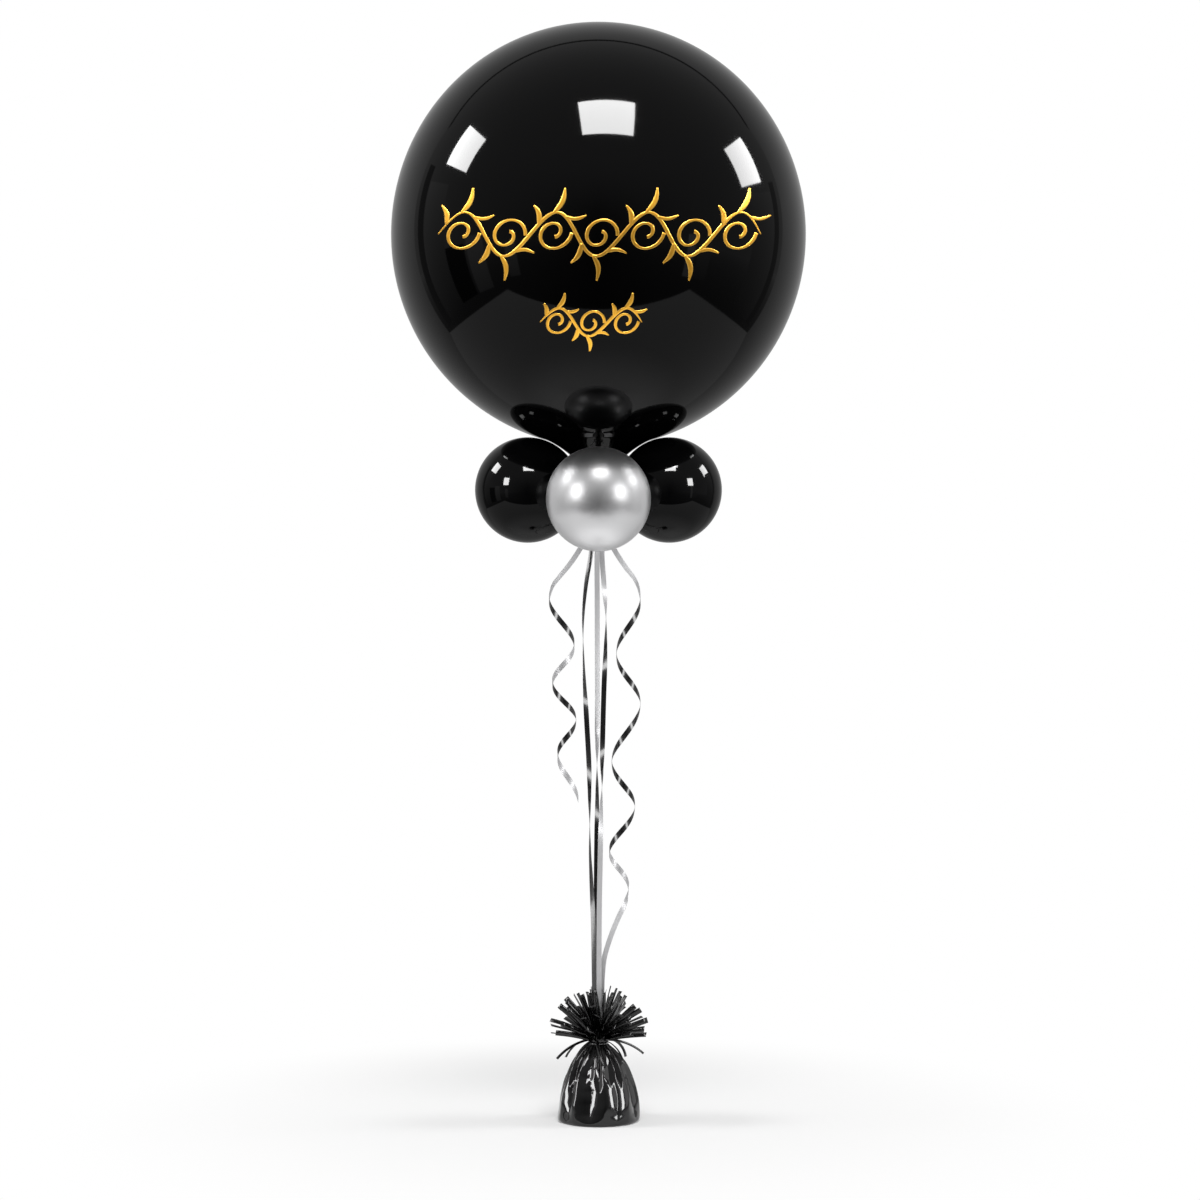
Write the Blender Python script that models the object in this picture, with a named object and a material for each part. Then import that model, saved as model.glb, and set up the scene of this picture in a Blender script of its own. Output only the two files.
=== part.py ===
# Helium balloon display: a large round balloon, a collar of four small balloons
# round its neck, five flat ribbons and the foil-wrapped, tasselled weight below.
# Metres, +Z up. The origin is the middle of the weight's flat underside.

import math

import bmesh
import bpy
from mathutils import Vector

for old in list(bpy.data.objects):
    bpy.data.objects.remove(old, do_unlink=True)

# Gap kept between two pieces that touch
GAP = 0.0003

# Large balloon: centre height, girth radius, and its reach up and down
ORB_CENTRE_Z = 0.8640
ORB_RADIUS = 0.2023
ORB_RISE = 0.2058
ORB_DROP = 0.2060
ORB_PEAR = 1.02            # above 1 the lower half narrows a little towards the neck
ORB_NECK_RADIUS = 0.0045
ORB_SHOULDER = 0.024       # radius where the ball starts to draw in to its neck
ORB_NECK_START = -ORB_DROP - 0.020   # height, from the ball's centre, where the slim neck starts
ORB_SEGMENTS = 40
ORB_ROWS = 21
NECK_SEGMENTS = 16
NECK_FOOT_Z = 0.5755       # underside of the rolled lip
LIP_RADIUS = 0.0054
LIP_HEIGHT = 0.0065

# Small balloons of the collar
COLLAR_RADIUS = 0.0516
COLLAR_SIDE_X = 0.0691
COLLAR_SIDE_Z = 0.6160
COLLAR_HUB_Z = 0.6140      # height at which the four necks meet the large one's
SILVER_RADIUS = 0.0500
SILVER_Y = 0.0740
SILVER_FRONT_Z = 0.6046
SILVER_BACK_Z = 0.6075
COLLAR_NECK_RADIUS = 0.0028
COLLAR_SHOULDER = 0.0120
COLLAR_NECK_START = 0.0120  # distance of the slim neck from the middle, where it starts
COLLAR_NECK_END = 0.0062    # and where it ends
COLLAR_SEGMENTS = 20
COLLAR_ROWS = 11

# Knot of ribbon round the large balloon's neck, above the lip
KNOT_TOP_Z = 0.5900
KNOT_FOOT_Z = 0.5825
KNOT_RADIUS = 0.0098

# Ribbons
RIBBON_WIDTH = 0.0050
RIBBON_THICKNESS = 0.0005
RIBBON_STEP = 0.0125       # spacing of the sections along a ribbon
RIBBON_TOP_Z = KNOT_FOOT_Z - GAP
LEFT_CURL_RADIUS = 0.0128
RIGHT_CURL_RADIUS = 0.0142

# Weight: foil bell, neck and tuft
WEIGHT_SEGMENTS = 48
PLEATS = 12
BELL_OUTLINE = [            # height, radius, depth of the pleats there
    (0.0000, 0.0362, 0.0000),
    (0.0008, 0.0383, 0.0000),
    (0.0035, 0.0396, 0.0002),
    (0.0180, 0.0389, 0.0009),
    (0.0360, 0.0355, 0.0021),
    (0.0510, 0.0304, 0.0023),
    (0.0600, 0.0246, 0.0019),
    (0.0680, 0.0174, 0.0013),
    (0.0730, 0.0117, 0.0007),
    (0.0757, 0.0086, 0.0002),
]
TUFT_CORE_OUTLINE = [       # the gathered roots of the fringe, from the tie upwards
    (0.0760, 0.0086, 0.0002),
    (0.0785, 0.0098, 0.0004),
    (0.0830, 0.0124, 0.0004),
    (0.0900, 0.0144, 0.0000),
    (0.0970, 0.0124, 0.0000),
    (0.1005, 0.0072, 0.0000),
]
CORE_TOP_Z = TUFT_CORE_OUTLINE[-1][0]
TIE_Z = 0.0757
TIE_RADIUS = 0.0096
TIE_THREAD_RADIUS = 0.0005

# Fringe: tiers of cut strips
STRIP_WIDTH = 0.0046
STRIP_THICKNESS = 0.0009
STRIP_SECTIONS = 3
FRINGE_TIERS = [            # count, root radius, root height, lift and droop in degrees, length
    (11, 0.0098, 0.0815, 8, 34, 0.038),
    (12, 0.0102, 0.0862, 24, 6, 0.038),
    (12, 0.0102, 0.0908, 45, 4, 0.039),
    (8, 0.0084, 0.0950, 69, 0, 0.036),
]


def make_material(name, colour, roughness, metallic=0.0):
    material = bpy.data.materials.new(name)
    material.use_nodes = True
    shader = material.node_tree.nodes["Principled BSDF"]
    shader.inputs["Base Color"].default_value = (*colour, 1.0)
    shader.inputs["Roughness"].default_value = roughness
    shader.inputs["Metallic"].default_value = metallic
    return material


BLACK_LATEX = make_material("black_latex", (0.012, 0.012, 0.012), 0.08)
SILVER_LATEX = make_material("silver_latex", (0.62, 0.62, 0.63), 0.25, 1.0)
METALLIC_RIBBON = make_material("metallic_ribbon", (0.05, 0.05, 0.05), 0.15, 1.0)
BLACK_FOIL = make_material("black_foil", (0.02, 0.02, 0.02), 0.12, 1.0)
TIE_THREAD = make_material("tie_thread", (0.45, 0.45, 0.45), 0.5)


def finish_mesh(name, bm, material, smooth_angle=math.radians(50)):
    """Turn the bmesh into an object with smooth round faces and crisp corners."""
    bmesh.ops.recalc_face_normals(bm, faces=bm.faces)
    mesh = bpy.data.meshes.new(name)
    bm.to_mesh(mesh)
    bm.free()
    mesh.materials.append(material)
    mesh.shade_smooth()
    mesh.set_sharp_from_angle(angle=smooth_angle)
    obj = bpy.data.objects.new(name, mesh)
    bpy.context.collection.objects.link(obj)
    return obj


def bridge(bm, lower, upper):
    """Close the band between two rings of as many points."""
    count = len(lower)
    for i in range(count):
        j = (i + 1) % count
        bm.faces.new((lower[i], lower[j], upper[j], upper[i]))


def cap(bm, ring, tip):
    """Close a ring with a fan of faces to a single point."""
    count = len(ring)
    for i in range(count):
        bm.faces.new((ring[i], ring[(i + 1) % count], tip))


def turned_mesh(profile, segments):
    """Turn a profile of (radius, height) round Z. It starts and ends on the axis."""
    bm = bmesh.new()
    rings = []
    for radius, height in profile[1:-1]:
        rings.append([
            bm.verts.new((radius * math.cos(turn), radius * math.sin(turn), height))
            for turn in (math.tau * i / segments for i in range(segments))
        ])
    for lower, upper in zip(rings, rings[1:]):
        bridge(bm, lower, upper)
    cap(bm, rings[0], bm.verts.new((0.0, 0.0, profile[0][1])))
    cap(bm, rings[-1], bm.verts.new((0.0, 0.0, profile[-1][1])))
    return bm


def bezier(p0, p1, p2, p3, steps):
    """Points on a cubic curve, without its first point."""
    points = []
    for i in range(1, steps + 1):
        t = i / steps
        weights = ((1 - t) ** 3, 3 * t * (1 - t) ** 2, 3 * t * t * (1 - t), t ** 3)
        points.append(tuple(
            sum(w * p[axis] for w, p in zip(weights, (p0, p1, p2, p3)))
            for axis in (0, 1)
        ))
    return points


def balloon_profile(radius, rise, drop, pear, shoulder, neck_radius, neck_start, rows):
    """Crown, ball and the draw-in to the neck, as (radius, height from the ball's centre)."""
    last = math.pi - math.asin((shoulder / radius) ** (1 / pear))
    profile = [(0.0, rise)]
    for i in range(1, rows + 1):
        angle = last * i / rows
        reach = rise if angle < math.pi / 2 else drop
        power = 1.0 if angle < math.pi / 2 else pear
        profile.append((radius * math.sin(angle) ** power, reach * math.cos(angle)))
    foot = profile[-1]
    slope = Vector((foot[0] - profile[-2][0], foot[1] - profile[-2][1])).normalized()
    pull = (foot[0] - neck_radius) * 0.75
    profile += bezier(
        foot,
        (foot[0] + slope.x * pull, foot[1] + slope.y * pull),
        (neck_radius, neck_start + (foot[1] - neck_start) * 0.55),
        (neck_radius, neck_start),
        4,
    )
    return profile


def build_orb():
    """The large balloon, as its ball and the slim neck that hangs below the ball."""
    profile = balloon_profile(
        ORB_RADIUS, ORB_RISE, ORB_DROP, ORB_PEAR, ORB_SHOULDER, ORB_NECK_RADIUS,
        ORB_NECK_START, ORB_ROWS,
    )
    profile.append((0.0, ORB_NECK_START))
    orb = finish_mesh("orb_balloon", turned_mesh(profile, ORB_SEGMENTS), BLACK_LATEX)
    orb.location = (0.0, 0.0, ORB_CENTRE_Z)

    top = ORB_CENTRE_Z + ORB_NECK_START - GAP
    neck_profile = [
        (0.0, top),
        (ORB_NECK_RADIUS, top),
        (ORB_NECK_RADIUS, NECK_FOOT_Z + LIP_HEIGHT),
        (LIP_RADIUS, NECK_FOOT_Z + LIP_HEIGHT * 0.75),
        (LIP_RADIUS, NECK_FOOT_Z + LIP_HEIGHT * 0.25),
        (LIP_RADIUS * 0.7, NECK_FOOT_Z),
        (0.0, NECK_FOOT_Z),
    ]
    finish_mesh("orb_neck", turned_mesh(neck_profile, NECK_SEGMENTS), BLACK_LATEX)


def build_collar_balloon(name, centre, radius, material):
    """A small balloon whose neck points at the large balloon's neck."""
    hub = Vector((0.0, 0.0, COLLAR_HUB_Z))
    outward = centre - hub
    reach = outward.length
    profile = balloon_profile(
        radius, radius, radius, 1.0, COLLAR_SHOULDER, COLLAR_NECK_RADIUS,
        COLLAR_NECK_START - reach, COLLAR_ROWS,
    )
    neck_end = COLLAR_NECK_END - reach
    profile += [(COLLAR_NECK_RADIUS, neck_end), (0.0, neck_end)]
    balloon = finish_mesh(name, turned_mesh(profile, COLLAR_SEGMENTS), material)
    balloon.location = centre
    balloon.rotation_mode = "QUATERNION"
    balloon.rotation_quaternion = outward.to_track_quat("Z", "Y")


def build_collar():
    side = Vector((COLLAR_SIDE_X, 0.0, COLLAR_SIDE_Z))
    build_collar_balloon("collar_balloon_right", side, COLLAR_RADIUS, BLACK_LATEX)
    build_collar_balloon(
        "collar_balloon_left", Vector((-side.x, side.y, side.z)), COLLAR_RADIUS, BLACK_LATEX)
    build_collar_balloon(
        "collar_balloon_front", Vector((0.0, -SILVER_Y, SILVER_FRONT_Z)), SILVER_RADIUS, SILVER_LATEX)
    build_collar_balloon(
        "collar_balloon_back", Vector((0.0, SILVER_Y, SILVER_BACK_Z)), SILVER_RADIUS, SILVER_LATEX)


def build_ring(name, section, segments, material):
    """Turn a closed section of (radius, height) points round Z into a ring."""
    bm = bmesh.new()
    rings = [
        [
            bm.verts.new((radius * math.cos(turn), radius * math.sin(turn), height))
            for turn in (math.tau * i / segments for i in range(segments))
        ]
        for radius, height in section
    ]
    for i, ring in enumerate(rings):
        bridge(bm, ring, rings[(i + 1) % len(rings)])
    return finish_mesh(name, bm, material)


def build_knot():
    inner = ORB_NECK_RADIUS + GAP
    height = KNOT_TOP_Z - KNOT_FOOT_Z
    build_ring("ribbon_knot", [
        (inner, KNOT_FOOT_Z),
        (KNOT_RADIUS * 0.86, KNOT_FOOT_Z),
        (KNOT_RADIUS, KNOT_FOOT_Z + height * 0.2),
        (KNOT_RADIUS * 0.93, KNOT_FOOT_Z + height * 0.5),
        (KNOT_RADIUS, KNOT_FOOT_Z + height * 0.75),
        (KNOT_RADIUS * 0.80, KNOT_TOP_Z),
        (inner, KNOT_TOP_Z),
    ], 16, METALLIC_RIBBON)


def smooth_route(points, step):
    """Evenly spaced points on a smooth curve through the route's points."""
    route = [Vector(p) for p in points]
    route = [2 * route[0] - route[1]] + route + [2 * route[-1] - route[-2]]
    fine = []
    for p0, p1, p2, p3 in zip(route, route[1:], route[2:], route[3:]):
        for i in range(12):
            t = i / 12
            fine.append(0.5 * (2 * p1 + (p2 - p0) * t + (2 * p0 - 5 * p1 + 4 * p2 - p3) * t * t
                               + (3 * p1 - p0 - 3 * p2 + p3) * t ** 3))
    fine.append(route[-2])
    lengths = [0.0]
    for a, b in zip(fine, fine[1:]):
        lengths.append(lengths[-1] + (b - a).length)
    count = max(3, round(lengths[-1] / step) + 1)
    even = []
    k = 0
    for i in range(count):
        target = lengths[-1] * i / (count - 1)
        while k < len(fine) - 2 and lengths[k + 1] < target:
            k += 1
        share = (target - lengths[k]) / (lengths[k + 1] - lengths[k])
        even.append(fine[k].lerp(fine[k + 1], share))
    return even


def facing_at(facings, height):
    """Angle, in radians, of the ribbon's face at a height. 0 faces -Y, 90 degrees faces +X."""
    for (z_a, a), (z_b, b) in zip(facings, facings[1:]):
        if height >= z_b:
            share = min(1.0, max(0.0, (z_a - height) / (z_a - z_b)))
            return math.radians(a + (b - a) * share)
    return math.radians(facings[-1][1])


def build_flat_ribbon(name, route, facings):
    """Loft a flat section along a route that runs downwards, turning as the facings say."""
    path = smooth_route(route, RIBBON_STEP)
    bm = bmesh.new()
    sections = []
    for i, point in enumerate(path):
        if 0 < i < len(path) - 1:
            along = (path[i + 1] - path[i - 1]).normalized()
        else:
            along = Vector((0.0, 0.0, -1.0))       # both ends are cut level
        angle = facing_at(facings, point.z)
        face = Vector((math.sin(angle), -math.cos(angle), 0.0))
        across = along.cross(face).normalized() * RIBBON_WIDTH / 2
        out = across.cross(along).normalized() * RIBBON_THICKNESS / 2
        sections.append([
            bm.verts.new(point + across * u + out * v)
            for u, v in ((-1, -1), (1, -1), (1, 1), (-1, 1))
        ])
    for upper, lower in zip(sections, sections[1:]):
        # Opposite faces are split along matching diagonals, so a twisted length stays thick
        for i, first in ((0, 0), (1, 1), (2, 3), (3, 0)):
            j = (i + 1) % 4
            far = i if first == j else j
            bm.faces.new((upper[first], upper[far], lower[far]))
            bm.faces.new((upper[first], lower[far], lower[first]))
    bm.faces.new(sections[0])
    bm.faces.new(sections[-1])
    return finish_mesh(name, bm, METALLIC_RIBBON)


def build_curl(name, axis_points, radius):
    """The space that a curled length of ribbon fills, as one round bar along its axis."""
    curve = bpy.data.curves.new(name, "CURVE")
    curve.dimensions = "3D"
    curve.bevel_depth = radius
    curve.bevel_resolution = 2
    curve.use_fill_caps = True
    path = smooth_route(axis_points, radius * 2)
    spline = curve.splines.new("POLY")
    spline.points.add(len(path) - 1)
    for spot, point in zip(spline.points, path):
        spot.co = (*point, 1.0)
    curve.materials.append(METALLIC_RIBBON)
    bpy.context.collection.objects.link(bpy.data.objects.new(name, curve))


# Routes run from the knot downwards, in metres. The points are chosen by hand.
LEFT_ROUTE = [
    (-0.0045, -0.0065, RIBBON_TOP_Z), (-0.0072, -0.0060, 0.5540), (-0.0120, -0.0055, 0.5245),
    (-0.0148, -0.0050, 0.4950), (-0.0150, -0.0050, 0.4700), (-0.0140, -0.0045, 0.4350),
    (-0.0115, -0.0040, 0.3900), (-0.0092, -0.0035, 0.3450), (-0.0086, -0.0030, 0.3000),
    (-0.0083, -0.0025, 0.2650), (-0.0070, -0.0020, 0.2350), (-0.0052, -0.0015, 0.1950),
    (-0.0043, -0.0013, 0.1500), (-0.0036, -0.0012, CORE_TOP_Z + GAP),
]
LEFT_FACINGS = [
    (0.554, 30), (0.525, 40), (0.495, 60), (0.470, 88), (0.450, 70), (0.420, 45), (0.390, 0),
    (0.350, -15), (0.318, -50), (0.289, -88), (0.258, -61), (0.228, -40), (0.200, -25), (0.110, -15),
]
MIDDLE_ROUTE = [
    (0.0000, -0.0094, RIBBON_TOP_Z), (-0.0013, -0.0092, 0.5540), (-0.0012, -0.0060, 0.5000),
    (-0.0011, -0.0018, 0.4500), (-0.0010, 0.0002, 0.4100), (-0.0014, 0.0015, 0.3500),
    (-0.0013, 0.0022, 0.3030),
    (-0.0019, 0.0025, 0.2550), (-0.0022, 0.0026, 0.2100), (-0.0026, 0.0022, 0.1500),
    (-0.0026, 0.0020, CORE_TOP_Z + GAP),
]
MIDDLE_FACINGS = [
    (0.554, 15), (0.500, 0), (0.400, 0), (0.372, 40), (0.347, 90), (0.325, 125), (0.303, 145),
    (0.280, 180), (0.110, 180),
]
RIGHT_ROUTE = [
    (0.0045, -0.0065, RIBBON_TOP_Z), (0.0034, -0.0062, 0.5540), (0.0053, -0.0058, 0.5248),
    (0.0073, -0.0055, 0.4950), (0.0068, -0.0052, 0.4600), (0.0053, -0.0050, 0.4200),
    (0.0041, -0.0048, 0.3750), (0.0034, -0.0045, 0.3450), (0.0036, -0.0045, 0.3300),
    (0.0025, -0.0040, 0.2950), (0.0016, -0.0038, 0.2500), (0.0008, -0.0035, 0.2050),
    (0.0006, -0.0035, 0.1550), (0.0008, -0.0038, CORE_TOP_Z + GAP),
]
RIGHT_FACINGS = [
    (0.554, 35), (0.540, 28), (0.525, 38), (0.510, 58), (0.492, 88), (0.465, 128), (0.445, 150),
    (0.430, 180), (0.375, 180), (0.358, 212), (0.340, 240), (0.325, 270), (0.310, 302),
    (0.295, 320), (0.270, 350), (0.250, 360), (0.110, 360),
]
CURLY_LEFT_LEAD = [
    (-0.0080, 0.0000, RIBBON_TOP_Z), (-0.0187, 0.0000, 0.5574), (-0.0287, 0.0000, 0.5428),
    (-0.0391, 0.0000, 0.5301), (-0.0440, 0.0000, 0.5230 + GAP),
]
CURLY_RIGHT_LEAD = [
    (0.0080, 0.0000, RIBBON_TOP_Z), (0.0158, 0.0000, 0.5574), (0.0266, 0.0000, 0.5406),
    (0.0348, 0.0000, 0.5301), (0.0385, 0.0000, 0.5230 + GAP),
]
CURLY_RIGHT_TAIL = [
    (0.0266, 0.0000, 0.2160 - GAP), (0.0206, 0.0010, 0.2006), (0.0146, 0.0025, 0.1863),
    (0.0094, 0.0040, 0.1714), (0.0057, 0.0052, 0.1579), (0.0041, 0.0056, 0.1445),
    (0.0034, 0.0056, 0.1310), (0.0032, 0.0056, CORE_TOP_Z + GAP),
]
LEFT_CURL_AXIS = [
    (-0.0361, 0.0, 0.5230), (-0.0358, 0.0, 0.4870), (-0.0344, 0.0, 0.4460),
    (-0.0326, 0.0, 0.4000), (-0.0308, 0.0, 0.3550), (-0.0296, 0.0, 0.3110),
]
RIGHT_CURL_AXIS = [
    (0.0293, 0.0, 0.5230), (0.0293, 0.0, 0.4830), (0.0291, 0.0, 0.4310),
    (0.0271, 0.0, 0.3790), (0.0244, 0.0, 0.3290), (0.0231, 0.0, 0.2850),
    (0.0203, 0.0, 0.2450), (0.0196, 0.0, 0.2160),
]


def build_ribbons():
    build_flat_ribbon("ribbon_straight_left", LEFT_ROUTE, LEFT_FACINGS)
    build_flat_ribbon("ribbon_straight_middle", MIDDLE_ROUTE, MIDDLE_FACINGS)
    build_flat_ribbon("ribbon_straight_right", RIGHT_ROUTE, RIGHT_FACINGS)
    build_flat_ribbon("ribbon_curly_left_lead", CURLY_LEFT_LEAD, [(0.58, 0), (0.52, 0)])
    build_flat_ribbon("ribbon_curly_right_lead", CURLY_RIGHT_LEAD, [(0.58, 0), (0.52, 0)])
    build_flat_ribbon("ribbon_curly_right_tail", CURLY_RIGHT_TAIL, [(0.22, 0), (0.10, 0)])
    build_curl("ribbon_curly_left_curl", LEFT_CURL_AXIS, LEFT_CURL_RADIUS)
    build_curl("ribbon_curly_right_curl", RIGHT_CURL_AXIS, RIGHT_CURL_RADIUS)


def pleat_share(turn):
    """How far a pleat is folded in at an angle: 0 on a ridge, up to 1 in a fold."""
    deep = 0.75 + 0.25 * math.sin(5 * turn + 0.6)
    return deep * (0.5 - 0.5 * math.cos(PLEATS * turn))


def build_pleated_body(name, outline):
    """A turned body whose sides are folded in between the ridges of the pleats."""
    bm = bmesh.new()
    rings = []
    for height, radius, depth in outline:
        ring = []
        for i in range(WEIGHT_SEGMENTS):
            turn = math.tau * i / WEIGHT_SEGMENTS
            reach = radius - depth * pleat_share(turn)
            ring.append(bm.verts.new((reach * math.cos(turn), reach * math.sin(turn), height)))
        rings.append(ring)
    for lower, upper in zip(rings, rings[1:]):
        bridge(bm, lower, upper)
    bm.faces.new(rings[0])
    bm.faces.new(rings[-1])
    return finish_mesh(name, bm, BLACK_FOIL, math.radians(35))


def add_strip(bm, turn, root_radius, root_height, lift, droop, length):
    """One cut strip that leaves the tuft at an angle and bends down towards its tip."""
    outward = Vector((math.cos(turn), math.sin(turn), 0.0))
    across = Vector((-math.sin(turn), math.cos(turn), 0.0)) * STRIP_WIDTH / 2
    point = outward * root_radius + Vector((0.0, 0.0, root_height))
    sections = []
    for i in range(STRIP_SECTIONS):
        angle = math.radians(lift - droop * i / (STRIP_SECTIONS - 1))
        along = outward * math.cos(angle) + Vector((0.0, 0.0, math.sin(angle)))
        out = across.cross(along).normalized() * STRIP_THICKNESS / 2
        sections.append([
            bm.verts.new(point + across * u + out * v)
            for u, v in ((-1, -1), (1, -1), (1, 1), (-1, 1))
        ])
        point = point + along * length / (STRIP_SECTIONS - 1)
    for a, b in zip(sections, sections[1:]):
        bridge(bm, a, b)
    bm.faces.new(sections[0])
    bm.faces.new(sections[-1])


def build_weight():
    """The bell below the tie, and the tuft of cut strips above it."""
    build_pleated_body("weight_wrap", BELL_OUTLINE)
    core = build_pleated_body("weight_fringe", TUFT_CORE_OUTLINE)
    bm = bmesh.new()
    for tier, (count, root_radius, root_height, lift, droop, length) in enumerate(FRINGE_TIERS):
        for i in range(count):
            turn = math.tau * (i + 0.5 * (tier % 2) + 0.08 * math.sin(3.1 * i + tier)) / count
            sway = 5 * math.sin(2.3 * i + 1.7 * tier)
            trim = 1 + 0.06 * math.sin(1.9 * i + tier)
            add_strip(bm, turn, root_radius, root_height, lift + sway, droop, length * trim)
    strips = finish_mesh("fringe_shape", bm, BLACK_FOIL)
    strips.hide_render = True
    strips.display_type = "WIRE"
    join = core.modifiers.new("strips", "BOOLEAN")
    join.operation = "UNION"
    join.object = strips


def build_tie():
    steps = 5
    section = [
        (TIE_RADIUS + TIE_THREAD_RADIUS * math.cos(math.tau * i / steps),
         TIE_Z + TIE_THREAD_RADIUS * math.sin(math.tau * i / steps))
        for i in range(steps)
    ]
    build_ring("weight_tie", section, 20, TIE_THREAD)


build_orb()
build_collar()
build_knot()
build_ribbons()
build_weight()
build_tie()
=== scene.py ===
# %% [markdown]
# # A party balloon on its weight
# This lesson dresses a measured solid model of a helium balloon display: a large
# round balloon, a collar of four small ones, curling ribbons, and a foil-wrapped
# weight. The solids stay as the frame. Most cells make one real piece over them, or
# one finish. We start with the frame.

# %% Load the frame
import functools
import math

import bmesh
import bpy
from mathutils import Matrix, Vector, noise


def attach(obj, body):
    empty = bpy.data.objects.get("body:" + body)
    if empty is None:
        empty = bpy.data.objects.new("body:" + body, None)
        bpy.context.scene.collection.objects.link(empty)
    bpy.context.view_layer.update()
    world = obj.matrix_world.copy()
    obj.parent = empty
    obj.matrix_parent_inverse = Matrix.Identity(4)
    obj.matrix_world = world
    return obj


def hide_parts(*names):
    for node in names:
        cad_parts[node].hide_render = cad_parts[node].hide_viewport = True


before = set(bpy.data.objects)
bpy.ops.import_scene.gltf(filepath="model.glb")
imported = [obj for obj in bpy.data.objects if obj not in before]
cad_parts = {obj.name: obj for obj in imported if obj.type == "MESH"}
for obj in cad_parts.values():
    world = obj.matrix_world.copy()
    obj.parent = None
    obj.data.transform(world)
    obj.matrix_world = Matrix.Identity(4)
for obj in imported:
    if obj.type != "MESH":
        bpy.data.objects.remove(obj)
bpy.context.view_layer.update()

# %% [markdown]
# ## The camera
# The display was seen from 2.77 m away, level with the middle of the ribbons, through
# a short portrait lens. A long distance keeps the upright ribbons upright. The camera
# comes first, because the ribbons are checked against what it sees.

# %% Camera
CAMERA_SPOT = Vector((0.0015, -2.77, 0.5085))
camera_data = bpy.data.cameras.new("camera")
camera_data.lens = 85
camera_data.sensor_width = 36
camera = bpy.data.objects.new("camera", camera_data)
camera.location = CAMERA_SPOT
camera.rotation_euler = (math.radians(90), 0, 0)
bpy.context.collection.objects.link(camera)
bpy.context.scene.camera = camera
print("camera at", tuple(round(c, 4) for c in CAMERA_SPOT))

# %% [markdown]
# ## Three small helpers for node trees
# Shader and geometry trees are built the same way: add a node, give its inputs a
# value or a link. One short function does both, so each tree reads like a recipe. Two
# more add a Math node and start a group, the steps that come up most.

# %% Node helpers
def node(tree, kind, inputs=None, **settings):
    """Add a node. An input is a plain value, or the output socket that feeds it."""
    made = tree.nodes.new(kind)
    for key, value in settings.items():
        setattr(made, key, value)
    for key, value in (inputs or {}).items():
        if isinstance(value, bpy.types.NodeSocket):
            tree.links.new(value, made.inputs[key])
        else:
            made.inputs[key].default_value = value
    return made


def calc(tree, operation, *values):
    """Add a Math node and return its result."""
    return node(tree, "ShaderNodeMath", dict(enumerate(values)), operation=operation).outputs[0]


def new_group(name, kind, sockets):
    """Start a node group. Each socket is a name, a direction, a type and a default."""
    tree = bpy.data.node_groups.new(name, kind)
    for label, way, socket_type, default in sockets:
        socket = tree.interface.new_socket(label, in_out=way, socket_type=socket_type)
        if default is not None:
            socket.default_value = default
    return tree, node(tree, "NodeGroupInput").outputs, node(tree, "NodeGroupOutput")


print("node helpers:", node.__name__, calc.__name__, new_group.__name__)

# %% [markdown]
# ## Helpers for meshes and finishes
# Most pieces here are lofts: rings of corners, each joined to the next. Most finishes
# are one shader whose roughness and bump vary by an effect, which is a node group. Both
# are written once, so each later cell can be about its own piece or finish.

# %% Mesh helpers
def bridge(bm, rings):
    """Join each ring of corners to the next by a row of faces, and return the rows."""
    count = len(rings[0])
    return [[bm.faces.new((a[i], b[i], b[(i + 1) % count], a[(i + 1) % count]))
             for i in range(count)] for a, b in zip(rings, rings[1:])]


def as_mesh(bm, name, *materials):
    """Turn a bmesh into a mesh whose faces point outwards."""
    bmesh.ops.recalc_face_normals(bm, faces=bm.faces)
    mesh = bpy.data.meshes.new(name)
    bm.to_mesh(mesh)
    bm.free()
    for material in materials:
        mesh.materials.append(material)
    return mesh


def as_object(name, mesh):
    """Put a mesh in the scene, on an object at the origin."""
    made = bpy.data.objects.new(name, mesh)
    bpy.context.collection.objects.link(made)
    return made


print("mesh helpers:", bridge.__name__, as_mesh.__name__, as_object.__name__)


# %% Finish helpers
def new_material(name):
    """A material, its node tree, and the Principled shader that it starts with."""
    material = bpy.data.materials.new(name)
    material.use_nodes = True
    return material, material.node_tree, material.node_tree.nodes["Principled BSDF"]


def vary_roughness(tree, shader, value, smooth, rough):
    """Let a noise value move the roughness between two ends."""
    spread = node(tree, "ShaderNodeMapRange", {
        "Value": value, "From Min": 0.3, "From Max": 0.7, "To Min": smooth, "To Max": rough})
    tree.links.new(spread.outputs["Result"], shader.inputs["Roughness"])


def varied_finish(name, colour, ior, smooth, rough, effect, vary_by, bump, depth, metallic=0.0, **sizes):
    """A finish whose effect group varies its roughness and bump. sizes are inputs of the group."""
    material, tree, shader = new_material(name)
    shader.inputs["Base Color"].default_value = (*colour, 1)
    shader.inputs["Metallic"].default_value = metallic
    shader.inputs["IOR"].default_value = ior
    group = node(tree, "ShaderNodeGroup", node_tree=effect)
    for label, size in sizes.items():
        group.inputs[label].default_value = size
    vary_roughness(tree, shader, group.outputs[vary_by], smooth, rough)
    bumps = node(tree, "ShaderNodeBump", {
        "Height": group.outputs["Height"], "Strength": bump, "Distance": depth})
    tree.links.new(bumps.outputs["Normal"], shader.inputs["Normal"])
    return material


print("finish helpers:", new_material.__name__, vary_roughness.__name__, varied_finish.__name__)

# %% [markdown]
# ## Ribbon film
# Curling ribbon is a metallised plastic film, black on one face and silver on the
# other, rolled with fine ribs along its length. The ribs are what streak its
# reflections. They follow the band, so they come from its own UV map: U runs across
# it and V along it, both in metres. Both faces use the same ribs, so they are a group.

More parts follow.
